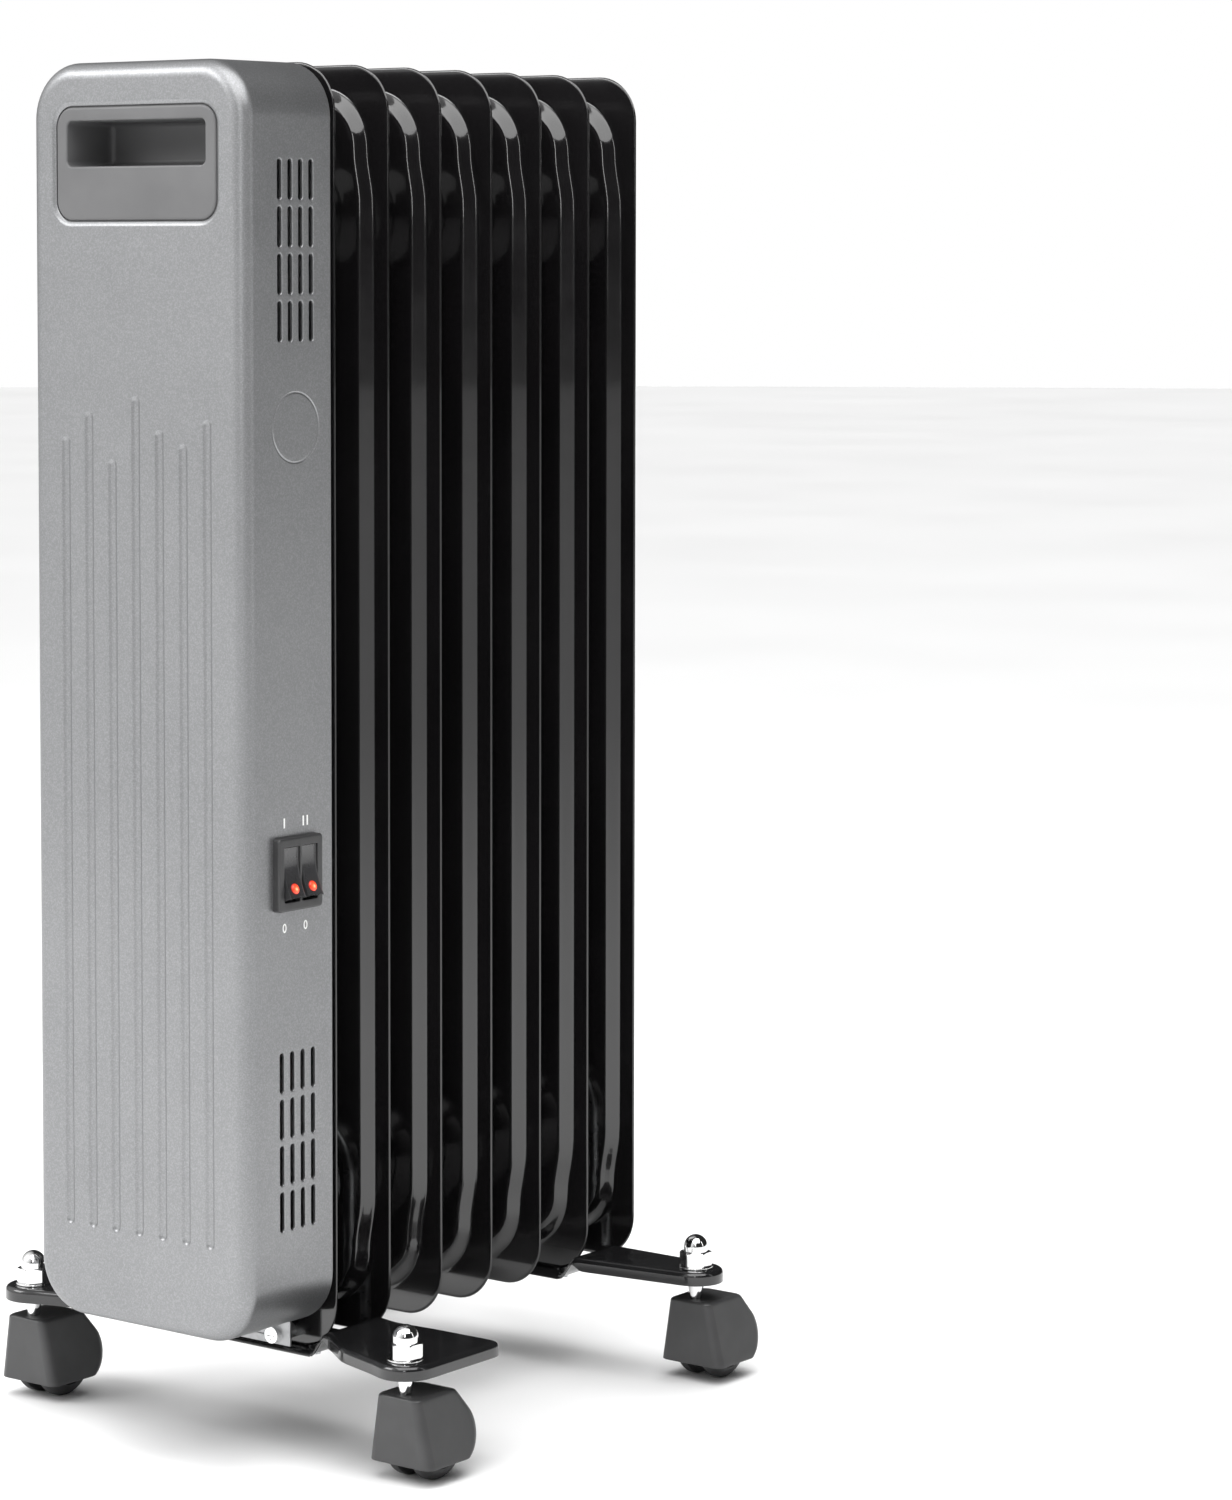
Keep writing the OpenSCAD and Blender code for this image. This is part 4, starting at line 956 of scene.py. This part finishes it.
def hood_section(z, shrink=0.0):
    """Plan outline of a hood at height z above the floor, about its stem."""
    t = (z - HOOD_FOOT) / HOOD_SPAN
    half = HOOD_HALF - 0.15 - 5.9 * t - shrink
    front = HOOD_FRONT + 0.15 + 1.4 * (1 - t) + shrink
    rear = hood_tail(z) - 0.2 - shrink
    rf = 4.6 - 0.9 * t
    rr = min(5.0, (rear - front) / 2 - 0.5)
    return (
        arc(half - rr, rear - rr, rr, 0, 90, 9) + arc(-half + rr, rear - rr, rr, 90, 180, 9)
        + arc(-half + rf, front + rf, rf, 180, 270, 9) + arc(half - rf, front + rf, rf, 270, 360, 9)
    )


for key, s in STEMS.items():
    bm = bmesh.new()

    def level(z, shrink=0.0, s=s):
        return [bm.verts.new(Vector((s.x + p[0], s.y + p[1], z)) * MM) for p in hood_section(z, shrink)]

    heights = [HOOD_FOOT + 0.35 + (HOOD_SPAN - 1.6) * i / 22 for i in range(23)]
    outer = [level(HOOD_FOOT, 1.0), level(HOOD_FOOT, 0.35), level(HOOD_FOOT + 0.12, 0.1)]
    outer += [level(z) for z in heights]
    outer += [level(HOOD_TOP - 0.85, 0.12), level(HOOD_TOP - 0.45, 0.42), level(HOOD_TOP - 0.14, 0.9),
              level(HOOD_TOP, 1.6)]
    strip(bm, outer)
    fill(bm, outer[-1], [], plane_xy)
    inner = [level(HOOD_FOOT + 0.3, 0.75)] + [level(z, 0.8) for z in heights[1:-2]]
    bridge(bm, outer[0], inner[0])
    strip(bm, inner)
    fill(bm, inner[-1], [], plane_xy)
    piece(bm, "caster_hood_" + key, hood_plastic, "swivel_" + key, ["hood_" + key], sharp=50)

    for side, sign in (("left", -1), ("right", 1)):
        lo, hi = box("wheel_%s_%s" % (key, side))
        wy, wz, r = (lo.y + hi.y) / 2, (lo.z + hi.z) / 2, (hi.z - lo.z) / 2
        x_in, x_out = (lo.x, hi.x) if sign > 0 else (hi.x, lo.x)
        width = abs(x_out - x_in)
        bm = bmesh.new()
        profile = [(2.1, 0.0), (4.2, 0.0), (4.4, 0.8), (r - 3.0, 0.9), (r - 2.6, 0.1), (r - 0.9, 0.0),
                   (r - 0.25, 0.25), (r, 0.9), (r, width - 3.9), (r - 0.3, width - 3.0),
                   (r - 1.4, width - 1.5), (r - 2.8, width - 0.5), (r - 4.2, width - 0.1),
                   (r - 5.0, width - 0.15), (r - 5.6, width - 0.9), (4.6, width - 1.1),
                   (4.2, width - 0.3), (3.9, width - 0.1),
                   (2.1, width - 0.1)]
        lathe(bm, profile, along_x(x_in, wy, wz, sign), 56, closed=True)
        piece(bm, "roller_%s_%s" % (key, side), tyre, "wheel_%s_%s" % (key, side),
              ["wheel_%s_%s" % (key, side)], sharp=40)


# ---------------------------------------------------------------- parts kept from the CAD

KEPT = {
    "header_caps": enamel, "filler_plug": zinc, "heating_element_low": element_steel,
    "heating_element_high": element_steel, "element_flange": brass, "element_gasket": fibre,
    "element_terminals": zinc, "chassis_plate": galvanised, "chassis_screws": chrome,
    "chassis_spacers": zinc, "case_screws": chrome, "thermostat": pale_plastic,
    "thermal_cutout": dark_plastic, "terminal_block": pale_plastic, "wiring": sleeve,
    "cord_gland": dark_plastic, "gland_nut": dark_plastic, "switch_terminals": zinc,
    "u_bolts": zinc, "wing_nuts": zinc,
    "axle_fl": zinc, "axle_fr": zinc, "axle_rl": zinc, "axle_rr": zinc,
}
SOFTENED = {"header_caps": 0.5, "filler_plug": 0.5, "element_flange": 0.4, "chassis_plate": 0.3,
            "chassis_screws": 0.3, "case_screws": 0.3, "thermostat": 0.5, "thermal_cutout": 0.4,
            "terminal_block": 0.5, "cord_gland": 0.5, "gland_nut": 0.4, "wing_nuts": 0.3}
for name, mat in KEPT.items():
    obj = nodes[name]
    obj.data.materials.clear()
    obj.data.materials.append(mat)
    if name in SOFTENED:
        weld = obj.modifiers.new("weld", "WELD")
        weld.merge_threshold = 0.002 * MM
        add = obj.modifiers.new("edges", "BEVEL")
        add.width, add.segments, add.limit_method = SOFTENED[name] * MM, 2, "ANGLE"
        add.angle_limit = math.radians(50)


# ---------------------------------------------------------------- floor, light, camera

bm = bmesh.new()
rim = [bm.verts.new(Vector((x, y, 0)) * 14) for x, y in arc(0, 0, 1, 0, 357.5, 143)]
bm.faces.new(rim)
mesh = bpy.data.meshes.new("floor")
bm.to_mesh(mesh)
bm.free()
floor = bpy.data.objects.new("floor", mesh)
bpy.context.scene.collection.objects.link(floor)
floor_paint = surface("floor_paint", (0.86, 0.86, 0.86), (0.88, 0.88, 0.88), (0.42, 0.5), specular=0.1,
                      cloud=0.6, grain=60.0, bump=0.02)
mesh.materials.append(floor_paint)

scene = bpy.context.scene
scene.view_settings.view_transform = "Standard"

world = bpy.data.worlds.new("studio")
scene.world = world
world.use_nodes = True
tree = world.node_tree
for node in list(tree.nodes):
    tree.nodes.remove(node)
out = tree.nodes.new("ShaderNodeOutputWorld")
place = tree.nodes.new("ShaderNodeTexCoord")
facing = tree.nodes.new("ShaderNodeVectorMath")
facing.operation = "DOT_PRODUCT"
facing.inputs[1].default_value = (-0.62, -0.62, 0.48)
tree.links.new(place.outputs["Generated"], facing.inputs[0])
level_map = remap(tree, facing.outputs["Value"], 0.03, 1.6, 0.35, 0.95)
soft = tree.nodes.new("ShaderNodeBackground")
tree.links.new(level_map, soft.inputs["Strength"])
seen = tree.nodes.new("ShaderNodeBackground")
seen.inputs["Color"].default_value = (1, 1, 1, 1)
seen.inputs["Strength"].default_value = 1.0
path = tree.nodes.new("ShaderNodeLightPath")
either = tree.nodes.new("ShaderNodeMixShader")
tree.links.new(path.outputs["Is Camera Ray"], either.inputs["Fac"])
tree.links.new(soft.outputs["Background"], either.inputs[1])
tree.links.new(seen.outputs["Background"], either.inputs[2])
tree.links.new(either.outputs["Shader"], out.inputs["Surface"])

TARGET = Vector((0, 0, 0.33))


def soft_box(name, where, size, power, aim=TARGET):
    data = bpy.data.lights.new(name, "AREA")
    data.shape = "RECTANGLE"
    data.size, data.size_y = size
    data.energy = power
    obj = bpy.data.objects.new(name, data)
    obj.location = where
    obj.rotation_euler = (Vector(aim) - Vector(where)).to_track_quat("-Z", "Y").to_euler()
    scene.collection.objects.link(obj)
    return obj


soft_box("key_front_left", (-1.35, -1.7, 1.75), (1.5, 1.0), 30, (0, 0, 0.6))
soft_box("top_bank", (0.6, -0.5, 1.7), (2.0, 1.5), 34, (0, 0, 0.55))
soft_box("corner_fill", (1.25, -1.75, 1.0), (0.22, 0.9), 4.5, (0.05, -0.1, 0.3))
soft_box("side_strip", (2.1, 0.75, 1.0), (0.16, 1.8), 2.5)

sun = bpy.data.lights.new("overhead", "SUN")
sun.energy = 2.7
sun.angle = math.radians(60)
overhead = bpy.data.objects.new("overhead", sun)
overhead.rotation_euler = (math.radians(-14), math.radians(-10), 0)
overhead.visible_glossy = False
scene.collection.objects.link(overhead)

YAW, PITCH = math.radians(38.1065), math.radians(-3.514)
eye = Vector((1.2447, -1.3374 + FRONT * MM, 0.46331 + case_lo.z * MM))
gaze = Vector((-math.sin(YAW) * math.cos(PITCH), math.cos(YAW) * math.cos(PITCH), math.sin(PITCH)))
lens_data = bpy.data.cameras.new("camera")
lens_data.sensor_width = 36
lens_data.lens = 4311.26 * 36 / 1500
lens_data.shift_x = (616 - 500) / 1500
lens_data.shift_y = (510 - 750) / 1500
lens_data.clip_start, lens_data.clip_end = 0.01, 100
camera = bpy.data.objects.new("camera", lens_data)
camera.location = eye
camera.rotation_euler = gaze.to_track_quat("-Z", "Y").to_euler()
scene.collection.objects.link(camera)
scene.camera = camera
